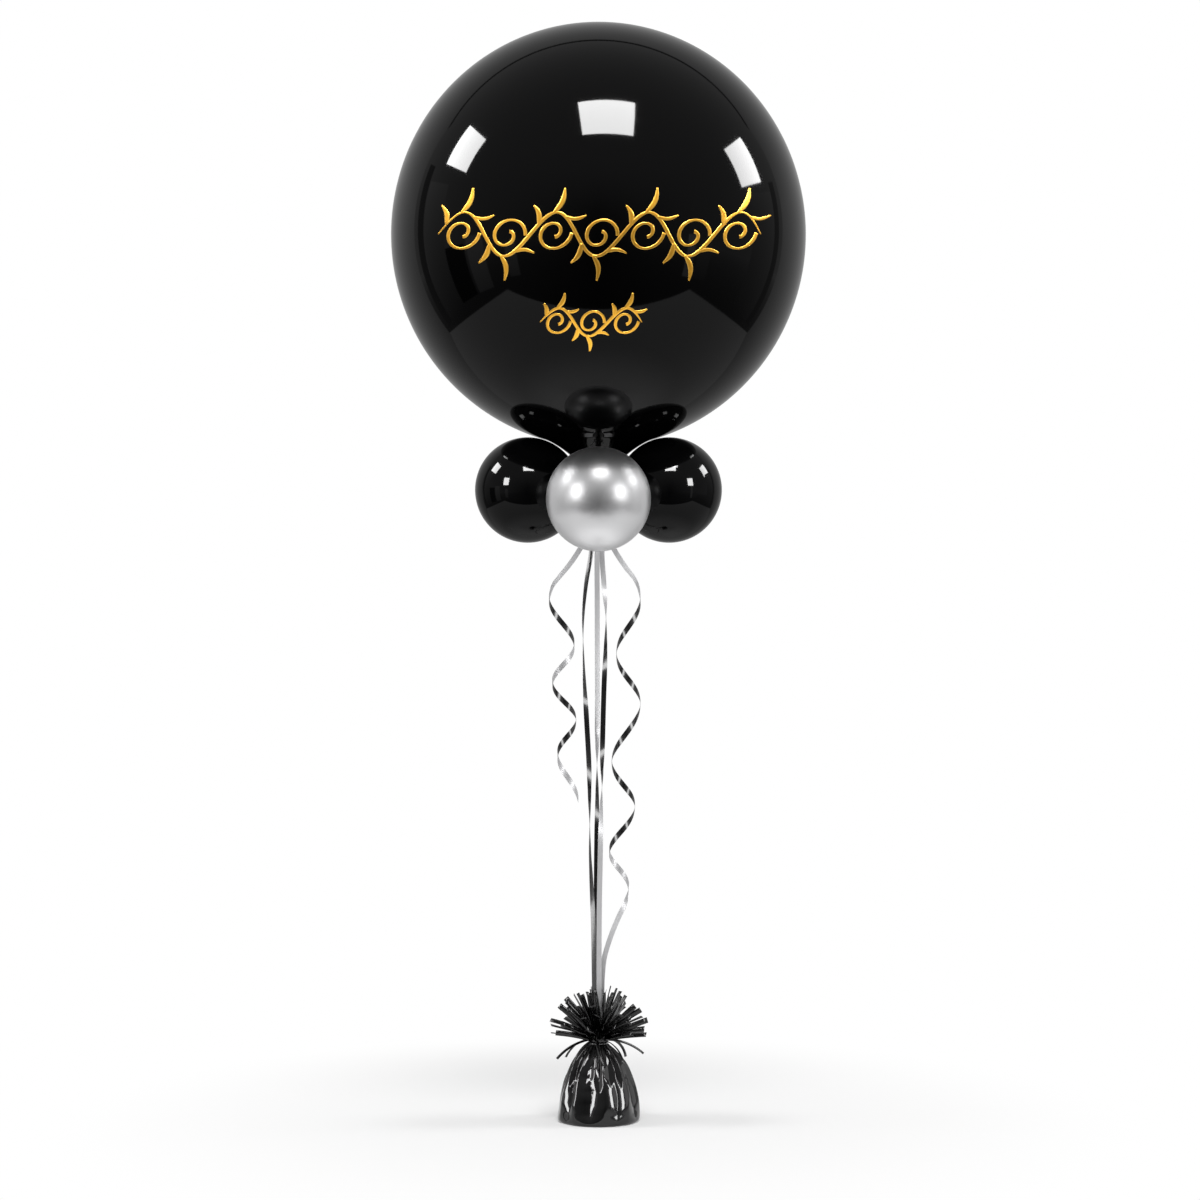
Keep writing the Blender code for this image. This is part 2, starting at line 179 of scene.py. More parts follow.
# %% Ribbon ribs, shared by both faces
ribs, ribs_in, ribs_out = new_group("ribbon_ribs", "ShaderNodeTree", [
    ("Spacing", "INPUT", "NodeSocketFloat", 0.0005),
    ("Height", "OUTPUT", "NodeSocketFloat", None),
    ("Wear", "OUTPUT", "NodeSocketFloat", None),
])
band_place = node(ribs, "ShaderNodeSeparateXYZ", {
    "Vector": node(ribs, "ShaderNodeUVMap", uv_map="band").outputs["UV"]})
rib_turn = calc(ribs, "DIVIDE", band_place.outputs["X"], ribs_in["Spacing"])
rib_wave = calc(ribs, "SINE", calc(ribs, "MULTIPLY", rib_turn, math.tau))
stretched = node(ribs, "ShaderNodeCombineXYZ", {
    "X": calc(ribs, "MULTIPLY", band_place.outputs["X"], 9.0), "Y": band_place.outputs["Y"]})
scuff = node(ribs, "ShaderNodeTexNoise", {
    "Vector": stretched.outputs["Vector"], "Scale": 90.0, "Detail": 3.0})
ribs.links.new(calc(ribs, "ADD", calc(ribs, "MULTIPLY", rib_wave, 0.5), scuff.outputs["Fac"]),
               ribs_out.inputs["Height"])
ribs.links.new(scuff.outputs["Fac"], ribs_out.inputs["Wear"])
print("ribs:", len(ribs.nodes), "nodes")

# %% The two faces
FILM_RELIEF = {"effect": ribs, "vary_by": "Wear", "bump": 0.05, "depth": 0.00004, "Spacing": 0.00084}
BLACK_FACE = varied_finish(
    "ribbon_black_face", (0.001, 0.001, 0.0011), ior=2.2, smooth=0.18, rough=0.22, **FILM_RELIEF)
SILVER_FACE = varied_finish(
    "ribbon_silver_face", (0.66, 0.66, 0.67), metallic=0.58, ior=1.45, smooth=0.38, rough=0.44, **FILM_RELIEF)
print("ribbon faces:", BLACK_FACE.name, SILVER_FACE.name)

# %% [markdown]
# ## Ribbons as cords
# Each ribbon is one band that runs from the knot down, so it is made from a path and
# from the way that its black face looks at each point. A loft gives full control of
# the twist, which a bevelled curve does not on an upright path. The band is a little
# crowned across, as real film is once it has been drawn over a blade.

# %% Paths
KNOT_FOOT = 0.5822        # where the ribbons leave the underside of the knot
TUFT_TOP = 0.1008         # where they go in at the top of the weight's tuft


def smooth_route(points, step):
    """Evenly spaced points on a smooth curve through the given ones."""
    route = [Vector(p) for p in points]
    route = [2 * route[0] - route[1]] + route + [2 * route[-1] - route[-2]]
    fine = []
    for p0, p1, p2, p3 in zip(route, route[1:], route[2:], route[3:]):
        for i in range(16):
            t = i / 16
            fine.append(0.5 * (2 * p1 + (p2 - p0) * t + (2 * p0 - 5 * p1 + 4 * p2 - p3) * t * t
                               + (3 * p1 - p0 - 3 * p2 + p3) * t ** 3))
    fine.append(route[-2])
    lengths = [0.0]
    for a, b in zip(fine, fine[1:]):
        lengths.append(lengths[-1] + (b - a).length)
    count = max(3, round(lengths[-1] / step) + 1)
    even, k = [], 0
    for i in range(count):
        target = lengths[-1] * i / (count - 1)
        while k < len(fine) - 2 and lengths[k + 1] < target:
            k += 1
        even.append(fine[k].lerp(fine[k + 1], (target - lengths[k]) / (lengths[k + 1] - lengths[k])))
    return even


def path_length(path):
    """How long a path is, along its straight steps."""
    return sum((b - a).length for a, b in zip(path, path[1:]))


print("the ribbons hang", round(KNOT_FOOT - TUFT_TOP, 3), "m")

# %% Bands
RIBBON_WIDTH = 0.005
FILM = 0.00022            # thickness


def band(name, path, outward, crown=0.00006, slant=0.0):
    """Loft a thin crowned band. outward[i] is where its black face looks at path[i].

    slant is how far the corners of its far end are cut aslant.
    """
    across_steps = [-1.0, -0.5, 0.0, 0.5, 1.0]
    bm = bmesh.new()
    uv = bm.loops.layers.uv.new("band")
    rings, spots, travel = [], {}, 0.0
    for i, point in enumerate(path):
        along = (path[min(i + 1, len(path) - 1)] - path[max(i - 1, 0)]).normalized()
        across = along.cross(outward[i]).normalized()
        face = across.cross(along).normalized()
        travel += (point - path[i - 1]).length if i else 0.0
        skew = slant if i == len(path) - 1 else 0.0
        top, low = [], []
        for u in across_steps:
            middle = point + across * u * RIBBON_WIDTH / 2 + face * crown * (0.5 - u * u)
            middle += along * skew * u
            for row, side in ((top, 0.5), (low, -0.5)):
                vert = bm.verts.new(middle + face * FILM * side)
                spots[vert] = ((u + 1) * RIBBON_WIDTH / 2, travel)
                row.append(vert)
        rings.append(top + low[::-1])
    for row in bridge(bm, rings):
        for i, quad in enumerate(row):
            silver = len(across_steps) - 1 <= i < len(row) - 1
            quad.material_index = 1 if silver else 0
            quad.smooth = True
    bm.faces.new(rings[0])
    bm.faces.new(rings[-1][::-1])
    for quad in bm.faces:
        for loop in quad.loops:
            loop[uv].uv = spots[loop.vert]
    mesh = as_mesh(bm, name, BLACK_FACE, SILVER_FACE)
    mesh.set_sharp_from_angle(angle=math.radians(40))
    return as_object(name, mesh)


print("bands are", RIBBON_WIDTH * 1000, "mm wide")

# %% [markdown]
# ## The three straight ribbons
# They are held taut between the knot and the weight, with a slow twist that shows
# now the black face and now the silver one. Each twist is a list of heights and
# angles: 0 looks to the front and 90 to the right. The routes repeat the solid model's
# own points, so the bands lie where its solids are.

# %% A straight ribbon
EASE = 0.35          # how much each turn slows down at its ends


def facing_at(facings, height):
    """The angle in radians at a height, read off a list of heights and degrees."""
    for (z_a, a), (z_b, b) in zip(facings, facings[1:]):
        if height >= z_b:
            share = min(1.0, max(0.0, (z_a - height) / (z_a - z_b)))
            share = share * share * (3 - 2 * share) * EASE + share * (1 - EASE)
            return math.radians(a + (b - a) * share)
    return math.radians(facings[-1][1])


def straight_ribbon(side, route, facings, black_first):
    """A taut band along a route. facings turn the face that black_first names."""
    name = "band_straight_" + side
    path = smooth_route(route, 0.0025)
    outward = []
    for point in path:
        angle = facing_at(facings, point.z) + (0.0 if black_first else math.pi)
        outward.append(Vector((math.sin(angle), -math.cos(angle), 0.0)))
    ribbon = band(name, path, outward)
    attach(ribbon, "root")
    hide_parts("ribbon_straight_" + side)
    print(name, round(path_length(path), 4), "m")
    return ribbon


# %% The straight ribbons' routes and turns
ribbons = [straight_ribbon("left", [
    (-.0045, -.0065, KNOT_FOOT), (-.0072, -.0060, .5540), (-.0120, -.0055, .5245),
    (-.0148, -.0050, .4950), (-.0150, -.0050, .4700), (-.0140, -.0045, .4350),
    (-.0115, -.0040, .3900), (-.0092, -.0035, .3450), (-.0086, -.0030, .3000),
    (-.0083, -.0025, .2650), (-.0070, -.0020, .2350), (-.0052, -.0015, .1950),
    (-.0043, -.0013, .1500), (-.0036, -.0012, TUFT_TOP)],
    [(.554, 30), (.525, 40), (.495, 60), (.470, 88), (.450, 70), (.420, 45), (.390, 0),
     (.350, -15), (.318, -50), (.289, -88), (.258, -61), (.228, -40), (.200, -25), (.110, -15)],
    black_first=True)]
ribbons.append(straight_ribbon("middle", [
    (0, -.0094, KNOT_FOOT), (-.0013, -.0092, .5540), (-.0012, -.0060, .5000),
    (-.0011, -.0018, .4500), (-.0010, .0002, .4100), (-.0014, .0015, .3500),
    (-.0013, .0022, .3030), (-.0019, .0025, .2550), (-.0022, .0026, .2100),
    (-.0026, .0022, .1500), (-.0026, .0020, TUFT_TOP)],
    [(.554, 0), (.525, -3), (.499, -11), (.450, -17), (.385, -18), (.366, -48), (.347, -90),
     (.325, -125), (.303, -145), (.280, -180), (.110, -180)],
    black_first=False))
ribbons.append(straight_ribbon("right", [
    (.0045, -.0065, KNOT_FOOT), (.0034, -.0062, .5540), (.0053, -.0058, .5248),
    (.0073, -.0055, .4950), (.0068, -.0052, .4600), (.0053, -.0050, .4200),
    (.0041, -.0048, .3750), (.0034, -.0045, .3450), (.0036, -.0045, .3300),
    (.0025, -.0040, .2950), (.0016, -.0038, .2500), (.0008, -.0035, .2050),
    (.0006, -.0035, .1550), (.0008, -.0038, TUFT_TOP)],
    [(.554, 0), (.541, 5), (.525, 13), (.510, 40), (.492, 88), (.465, 128), (.445, 150),
     (.430, 180), (.375, 180), (.358, 212), (.340, 240), (.325, 270), (.310, 302),
     (.295, 320), (.270, 350), (.250, 360), (.110, 360)],
    black_first=False))

# %% [markdown]
# ## The two curled ribbons
# Drawing the film over a blade makes it coil. From the front, each coil is a row of
# turning points, left and right in turn, so those are what we measure. Between two of
# them the band goes half a turn round. Where it passes in front we see its black outer
# face, and where it passes behind we see its silver inner face. A pulled-out curl often
# turns back instead of going on round, so two front halves may follow each other.
# A word of one letter for each half turn, f for front and b for behind, says all that.

# %% A coil
def eased(t, slow_start, slow_end):
    """A half turn's progress, which comes to rest at an end where the coil turns back."""
    if t < 0.5:
        u = 2 * t
        return u * u - 0.5 * u ** 3 if slow_start else t
    u = 2 * (1 - t)
    return 1 - (u * u - 0.5 * u ** 3) if slow_end else t


def coil(turning_points, halves, first_side, steps=16):
    """Points of a coil, and the way that its black face looks at each, as an angle."""
    xs = [x for x, z in turning_points]
    last = len(xs) - 1
    middles, radii = [], []
    for k, x in enumerate(xs):
        others = [xs[j] for j in (k - 1, k + 1) if 0 <= j <= last]
        other = sum(others) / len(others)
        middles.append((x + other) / 2)
        radii.append(abs(x - other) / 2)
    spots = []
    for k, half in enumerate(halves):
        z0, z1 = turning_points[k][1], turning_points[k + 1][1]
        before = turning_points[max(k - 1, 0)][1] if k else 2 * z0 - z1
        after = turning_points[k + 2][1] if k + 2 <= last else 2 * z1 - z0
        side = first_side if k % 2 == 0 else -first_side
        depth = -1 if half == "f" else 1
        slow_start = k > 0 and halves[k - 1] == half
        slow_end = k + 1 < last and halves[k + 1] == half
        for i in range(steps + (k == last - 1)):
            t = i / steps
            turn = math.pi * eased(t, slow_start, slow_end)
            z = 0.5 * (2 * z0 + (z1 - before) * t + (2 * before - 5 * z0 + 4 * z1 - after) * t * t
                       + (3 * z0 - before - 3 * z1 + after) * t ** 3)
            middle = middles[k] + (middles[k + 1] - middles[k]) * t
            radius = radii[k] + (radii[k + 1] - radii[k]) * t
            spots.append((Vector((middle + radius * side * math.cos(math.pi * t),
                                  radius * depth * math.sin(turn), z)),
                          Vector((side * math.cos(turn), depth * math.sin(turn), 0.0))))
    return spots


print("coil helpers:", eased.__name__, coil.__name__)


# %% A curled ribbon
def curled_ribbon(name, lead, turning_points, halves, first_side, tail, nodes, slant=0.0):
    """A lead from the knot, the coil, and a tail. The lead and the tail show silver."""
    spots = coil(turning_points, halves, first_side)
    lead_path = smooth_route(lead + [spots[0][0], spots[2][0]], 0.003)
    cut = min(range(len(lead_path)), key=lambda i: (lead_path[i] - spots[0][0]).length)
    path = list(lead_path[:cut])
    outward = []
    for i in range(cut):
        turn = math.pi / 2 * (1 - (i / cut) ** 2)
        outward.append(Vector((first_side * math.cos(turn), math.sin(turn), 0.0)))
    path += [spot for spot, facing in spots]
    outward += [facing for spot, facing in spots]
    if tail:
        tail_path = smooth_route([spots[-3][0], spots[-1][0]] + tail, 0.003)
        start = min(range(len(tail_path)), key=lambda i: (tail_path[i] - spots[-1][0]).length)
        last_side = spots[-1][1].x
        for i, point in enumerate(tail_path[start + 1:]):
            turn = math.pi / 2 * math.sin(min(1.0, (i + 1) / 12) * math.pi / 2)
            path.append(point)
            outward.append(Vector((last_side * math.cos(turn), math.sin(turn), 0.0)))
    ribbon = band(name, path, outward, slant=slant)
    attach(ribbon, "root")
    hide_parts(*nodes)
    print(name, round(path_length(path), 4), "m in", len(halves), "half turns")
    return ribbon


# %% The curled ribbons' leads, turning points and tails
ribbons.append(curled_ribbon(
    "band_curly_left",
    [(-.0080, 0, KNOT_FOOT), (-.0130, .0015, .5690), (-.0187, .0030, .5574), (-.0287, .0062, .5428),
     (-.0392, .0076, .5301), (-.0452, .0058, .5216)],
    [(-.0482, .5092), (-.0237, .4644), (-.0449, .4267), (-.0219, .3916), (-.0398, .3561), (-.0197, .3110)],
    halves="fbffb", first_side=-1, tail=[],
    nodes=["ribbon_curly_left_lead", "ribbon_curly_left_curl"], slant=.0012))
ribbons.append(curled_ribbon(
    "band_curly_right",
    [(.0080, 0, KNOT_FOOT), (.0118, .0015, .5690), (.0157, .0030, .5574), (.0266, .0064, .5406),
     (.0348, .0078, .5301), (.0392, .0058, .5205)],
    [(.0410, .5088), (.0176, .4564), (.0411, .4065), (.0130, .3512), (.0356, .3058), (.0107, .2628),
     (.0294, .2258)],
    halves="fffffb", first_side=1, tail=[
        (.0258, -.0030, .2117), (.0206, -.0010, .2006), (.0146, .0018, .1863), (.0094, .0038, .1714),
        (.0057, .0052, .1579), (.0041, .0056, .1445), (.0034, .0056, .1310), (.0032, .0056, TUFT_TOP)],
    nodes=["ribbon_curly_right_lead", "ribbon_curly_right_curl", "ribbon_curly_right_tail"]))

# %% [markdown]
# ## Latex
# A blown-up balloon is stretched so thin that its skin is almost optically smooth.
# What shows is a faint cloudiness where the rubber is a little thicker, which softens
# some reflections more than others. Both latex colours share that effect as a group.

# %% Latex cloudiness, shared by both colours
bloom, bloom_in, bloom_out = new_group("latex_bloom", "ShaderNodeTree", [
    ("Size", "INPUT", "NodeSocketFloat", 9.0),
    ("Cloud", "OUTPUT", "NodeSocketFloat", None),
    ("Height", "OUTPUT", "NodeSocketFloat", None),
])
bloom_place = node(bloom, "ShaderNodeTexCoord").outputs["Object"]
clouds = node(bloom, "ShaderNodeTexNoise", {
    "Vector": bloom_place, "Scale": bloom_in["Size"], "Detail": 4.0, "Roughness": 0.6})
grain = node(bloom, "ShaderNodeTexNoise", {"Vector": bloom_place, "Scale": 420.0, "Detail": 2.0})
bloom.links.new(clouds.outputs["Fac"], bloom_out.inputs["Cloud"])
bloom.links.new(calc(bloom, "ADD", clouds.outputs["Fac"],
                     calc(bloom, "MULTIPLY", grain.outputs["Fac"], 0.05)), bloom_out.inputs["Height"])
print("latex cloudiness:", len(bloom.nodes), "nodes")

# %% The two latex colours
SKIN_RELIEF = {"effect": bloom, "vary_by": "Cloud", "bump": 0.3, "depth": 0.00006}
BLACK_LATEX = varied_finish(
    "black_latex", (0.0006, 0.0006, 0.00065), ior=1.27, smooth=0.035, rough=0.06, Size=9.0, **SKIN_RELIEF)
SILVER_LATEX = varied_finish(
    "silver_latex", (0.86, 0.86, 0.87), metallic=1.0, ior=1.45, smooth=0.34, rough=0.40, Size=22.0,
    **SKIN_RELIEF)
print("latex:", BLACK_LATEX.name, SILVER_LATEX.name)

# %% [markdown]
# ## The large balloon
# A balloon is a turned shape: a ball that draws in to a slim neck, with a rolled lip
# at its end. So one outline, turned round the upright axis, makes all of it. Fine
# steps matter here, because a glossy ball shows every flat spot in its reflections.

# %% A balloon's outline
DRAW_STEPS = 14            # steps of the draw-in between ball and neck
DRAW_TURN = 0.55           # a larger share turns the skin down into its neck sooner


def bezier(p0, p1, p2, p3, steps):
    """Points on a curve from p0 to p3, drawn towards p1 and p2 on its way, without its start."""
    return [tuple(sum(w * p[axis] for w, p in zip(
        ((1 - t) ** 3, 3 * t * (1 - t) ** 2, 3 * t * t * (1 - t), t ** 3), (p0, p1, p2, p3)))
        for axis in (0, 1)) for t in (i / steps for i in range(1, steps + 1))]


def balloon_outline(radius, rise, drop, pear, shoulder, neck_radius, neck_start, rows, full):
    """Crown, ball and draw-in, as (radius, height from the middle of the ball).

    full is how far the skin keeps the ball's slope where it starts to draw in, as a
    share of its way in to the neck.
    """
    last = math.pi - math.asin((shoulder / radius) ** (1 / pear))
    outline = [(0.0, rise)]
    for i in range(1, rows + 1):
        angle = last * i / rows
        low = angle >= math.pi / 2
        outline.append((radius * math.sin(angle) ** (pear if low else 1.0),
                        (drop if low else rise) * math.cos(angle)))
    foot = outline[-1]
    slope = (Vector(foot) - Vector(outline[-2])).normalized()
    pull = (foot[0] - neck_radius) * full
    return outline + bezier(
        foot, tuple(Vector(foot) + slope * pull),
        (neck_radius, neck_start + (foot[1] - neck_start) * DRAW_TURN), (neck_radius, neck_start),
        DRAW_STEPS)


print("outline helpers:", bezier.__name__, balloon_outline.__name__)

# %% A turned piece
PLEAT_REACH = 0.018        # how far from the axis a gathered piece starts to fold
PLEAT_END = 0.002          # and where it is too tight to show a fold


def turned_piece(name, outline, segments, material, pleat=0.0, pleats=0, shift=None):
    """Turn an outline round Z. pleat is how deep the skin folds in at the neck."""
    bm = bmesh.new()
    turns = [math.tau * i / segments for i in range(segments)]
    rings = []
    for radius, height in outline[1:-1]:
        gather = pleat * max(0.0, 1 - radius / PLEAT_REACH) * (radius > PLEAT_END)
        reaches = [radius - gather * (0.5 + 0.5 * math.cos(pleats * turn)) for turn in turns]
        rings.append([bm.verts.new((reach * math.cos(turn), reach * math.sin(turn), height))
                      for turn, reach in zip(turns, reaches)])
    bridge(bm, rings)
    for ring, height in ((rings[0], outline[0][1]), (rings[-1], outline[-1][1])):
        tip = bm.verts.new((0.0, 0.0, height))
        for i in range(segments):
            bm.faces.new((ring[i], ring[(i + 1) % segments], tip))
    if shift is not None:
        bm.transform(shift)
    mesh = as_mesh(bm, name, material)
    mesh.shade_smooth()
    return as_object(name, mesh)


print("turning helper:", turned_piece.__name__)

# %% Large balloon
ORB_CENTRE = 0.8640        # height of its middle
ORB_RADIUS = 0.2023
ORB_RISE = 0.2058          # from its middle to its crown
ORB_DROP = 0.2060          # how far down the ball would reach if it had no neck
ORB_PEAR = 1.02            # above 1 the lower half narrows a little
ORB_SHOULDER = 0.052       # radius where it starts to draw in to its neck
NECK_RADIUS = 0.0045
NECK_START = -0.2560       # where the slim neck starts, from the middle of the ball
NECK_FOOT = 0.5755 - ORB_CENTRE
LIP = [(NECK_RADIUS, .0050), (.0047, .0040), (.0052, .0030), (.0054, .0020), (.0054, .0011),
       (.0050, .0003), (.0043, .0), (.0036, .0004), (.0031, .0014), (.0, .0020)]   # radius, height
orb_outline = balloon_outline(
    ORB_RADIUS, ORB_RISE, ORB_DROP, ORB_PEAR, ORB_SHOULDER, NECK_RADIUS, NECK_START, rows=90, full=0.22)
orb_outline += [(radius, NECK_FOOT + height) for radius, height in LIP]
orb = turned_piece("orb_skin", orb_outline, 144, BLACK_LATEX,
                   shift=Matrix.Translation((0, 0, ORB_CENTRE)))
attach(orb, "root")
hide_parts("orb_balloon", "orb_neck")
print("large balloon:", len(orb.data.polygons), "faces")

# %% [markdown]
# ## The collar of small balloons
# Two pairs of small balloons are tied neck to neck and twisted together round the
# large one's neck, so each small one points at the same hub. It is turned upright
# first, like the large one, and then its whole mesh is swung to point outwards. Near
# its neck the skin gathers in small folds.

# %% Collar
HUB = Vector((0, 0, 0.6140))
BLACK_RADIUS, SILVER_RADIUS = 0.0516, 0.0500
BLACK_OUT, SILVER_OUT = 0.0691, 0.0740     # from the axis to the middle of a small balloon
BLACK_HEIGHT, SILVER_FRONT_HEIGHT, SILVER_BACK_HEIGHT = 0.6160, 0.6046, 0.6075
SMALL_SHOULDER, SMALL_NECK = 0.0120, 0.0028
SMALL_NECK_START = 0.0120                  # distance from the hub
SMALL_NECK_TIP = [(SMALL_NECK, .0064), (.0022, .0062), (.0, .0062)]   # radius, distance from the hub


def collar_balloon(name, centre, radius, material):
    outward = Vector(centre) - HUB
    reach = outward.length
    outline = balloon_outline(radius, radius, radius, 1.0, SMALL_SHOULDER, SMALL_NECK,
                              SMALL_NECK_START - reach, rows=44, full=0.75)
    outline += [(neck, distance - reach) for neck, distance in SMALL_NECK_TIP]
    swing = Matrix.Translation(centre) @ outward.to_track_quat("Z", "Y").to_matrix().to_4x4()
    piece = turned_piece(name + "_skin", outline, 72, material, pleat=0.0009, pleats=9, shift=swing)
    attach(piece, "root")
    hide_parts(name)
    return piece


collar = [collar_balloon(name, centre, radius, material) for name, centre, radius, material, slot in (
    ("collar_balloon_right", (BLACK_OUT, 0, BLACK_HEIGHT), BLACK_RADIUS, BLACK_LATEX, "black_latex"),
    ("collar_balloon_left", (-BLACK_OUT, 0, BLACK_HEIGHT), BLACK_RADIUS, BLACK_LATEX, "black_latex"),
    ("collar_balloon_front", (0, -SILVER_OUT, SILVER_FRONT_HEIGHT), SILVER_RADIUS, SILVER_LATEX,
     "silver_latex"),
    ("collar_balloon_back", (0, SILVER_OUT, SILVER_BACK_HEIGHT), SILVER_RADIUS, SILVER_LATEX,
     "silver_latex"))]
print("collar:", [piece.name for piece in collar])

# %% [markdown]
# ## The knot
# The ribbons are tied off round the large balloon's neck, just above its lip. Up
# close that is one band wound a few times round, each turn lying on the last. A
# spiral that widens a little on each turn, and wanders up and down, gives it.

# %% Knot
KNOT_MIDDLE = 0.58625
KNOT_TURNS = 3.2
KNOT_STEPS = 120
KNOT_WANDER = 0.0009                         # how far the turns stray up and down
INNER_TURN, OUTER_TURN = 0.0062, 0.0092      # radii of the first and the last turn
knot_path = []
for i in range(KNOT_STEPS + 1):
    turn = math.tau * KNOT_TURNS * i / KNOT_STEPS
    radius = INNER_TURN + (OUTER_TURN - INNER_TURN) * i / KNOT_STEPS
    wander = KNOT_WANDER * math.sin(turn * 0.71 + 1)
    knot_path.append(Vector((radius * math.sin(turn), -radius * math.cos(turn), KNOT_MIDDLE + wander)))
knot = band("knot_wraps", knot_path, [Vector((p.x, p.y, 0)).normalized() for p in knot_path], crown=0.0004)
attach(knot, "root")
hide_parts("ribbon_knot")
print("knot:", round(path_length(knot_path), 3), "m of band in", KNOT_TURNS, "turns")

# %% [markdown]
# ## Gold print
# The front carries a print in metallic gold. Here it is a generic ornament, two rows
# of scrolling vine: a waving stem with a curl inside each wave and three leaves on its
# crest, drawn with the thick and thin of a broad pen. Each stroke is drawn flat first,
# as a list of points with a width, in the units of a 1200-wide drawing. Its edges
# catch more light than its middle, so each stroke stores how near its edge every point
# is, and the gold's colour is painted lighter there: a painted highlight.

# %% Gold
GOLD, gold_tree, gold_shader = new_material("gold_print")
gold_shader.inputs["Metallic"].default_value = 1.0
rim = node(gold_tree, "ShaderNodeAttribute", attribute_name="rim").outputs["Fac"]
flakes = node(gold_tree, "ShaderNodeTexNoise", {
    "Vector": node(gold_tree, "ShaderNodeTexCoord").outputs["Object"], "Scale": 900.0, "Detail": 2.0})
# Painted highlight: the base colour runs from a deeper gold in a stroke's middle to a lighter gold at its
# rim.
gold_highlight_mix = node(gold_tree, "ShaderNodeMix", data_type="RGBA")
gold_tree.links.new(rim, gold_highlight_mix.inputs["Factor"])
gold_highlight_mix.inputs["A"].default_value = (0.86, 0.42, 0.035, 1)
gold_highlight_mix.inputs["B"].default_value = (1.0, 0.58, 0.10, 1)
gold_tree.links.new(gold_highlight_mix.outputs["Result"], gold_shader.inputs["Base Color"])
vary_roughness(gold_tree, gold_shader, flakes.outputs["Fac"], 0.34, 0.50)
print("gold:", GOLD.name)

# %% [markdown]
# ## Strokes of the pen
# The vine needs three kinds of stroke: the waving stem, a spiral and a leaf. Each is a
# short formula that gives points with a width. A pen held aslant draws upright runs
# broad and level runs fine, so the widths are scaled by direction at the end.

# %% Pen strokes
DRAWING_AXIS, DRAWING_GROUND = 598.5, 1120.5     # column where X is 0, and row where Z is 0
DRAWING_UNIT = 0.000977                          # metres
PEN_SLANT = 0.16
CURL_TURNS = 1.18
LEAVES = ((-0.36, 0.95, 1.00), (-0.08, 1.20, 0.90), (0.20, 0.95, 0.78))   # place, length, angle off the stem


def drawn(x, y):
    """A spot of the drawing, in metres on the upright plane through the display."""
    return Vector(((x - DRAWING_AXIS) * DRAWING_UNIT, 0.0, (DRAWING_GROUND - y) * DRAWING_UNIT))


def pen_point(x, y, width):
    return Vector((x, y, max(0.9, width)))


def vine_stem(x0, x1, middle, humps, height, width):
    """A waving stem that tapers at both ends."""
    spots = []
    for i in range(humps * 8 + 1):
        t = i / (humps * 8)
        taper = min(1.0, 0.3 + 6 * t, 0.3 + 6 * (1 - t))
        spots.append(pen_point(x0 + (x1 - x0) * t, middle - height * math.sin(math.pi * humps * t),
                               width * taper))
    return spots


def curl(x, y, radius, side, width):
    """A spiral that leaves the stem on its right and winds in to a round tip."""
    spots = []
    for t in (i / 24 for i in range(25)):
        angle = side * math.tau * CURL_TURNS * t
        reach = radius * (1 - 0.76 * t)
        spots.append(pen_point(x + reach * math.cos(angle), y + reach * math.sin(angle),
                               width * (1.35 if t > 0.94 else 1.0)))
    return spots


def leaf(x0, y0, x1, y1, bow, width):
    """A single slender stroke that swells in its middle and bows to one side."""
    start, end = Vector((x0, y0)), Vector((x1, y1))
    side = Vector((-(end - start).y, (end - start).x)).normalized()
    return [pen_point(*(start.lerp(end, t) + side * bow * math.sin(math.pi * t)),
                      width * math.sin(math.pi * (0.10 + 0.80 * t ** 0.8)))
            for t in (i / 8 for i in range(9))]


def vine(x0, x1, middle, humps, height, width):
    """A stem, a curl inside each wave, and leaves that grow forward from its crest."""
    strokes = [vine_stem(x0, x1, middle, humps, height, width)]
    step = (x1 - x0) / humps
    for k in range(humps):
        side = 1 if k % 2 == 0 else -1
        x = x0 + step * (k + 0.5)
        strokes.append(curl(x, middle - side * 0.06 * height, step * 0.40, side, width * 0.92))
        for offset, reach, spread in LEAVES:
            foot = Vector((x + offset * step, middle - side * height * math.cos(math.pi * offset)))
            along = Vector((step, side * height * math.pi * math.sin(math.pi * offset))).normalized()
            away = Vector((along.y, -along.x)) * side
            tip = foot + (along * math.cos(spread) + away * math.sin(spread)) * height * reach
            strokes.append(leaf(*foot, *tip, 0.14 * height * reach * side, width * 1.35))
    for stroke in strokes:
        flat = [spot.copy() for spot in stroke]
        for i, spot in enumerate(stroke):
            ahead = flat[min(i + 1, len(flat) - 1)] - flat[max(i - 1, 0)]
            upright = abs(ahead.y) / max(1e-6, math.hypot(ahead.x, ahead.y))
            spot.z *= 0.72 + 0.50 * upright
            spot.x += (middle - spot.y) * PEN_SLANT
    return strokes


STROKES = vine(x0=438, x1=761, middle=234, humps=7, height=22.0, width=3.2)
STROKES += vine(x0=540, x1=642, middle=322, humps=3, height=14.0, width=2.9)
print("print:", len(STROKES), "strokes")
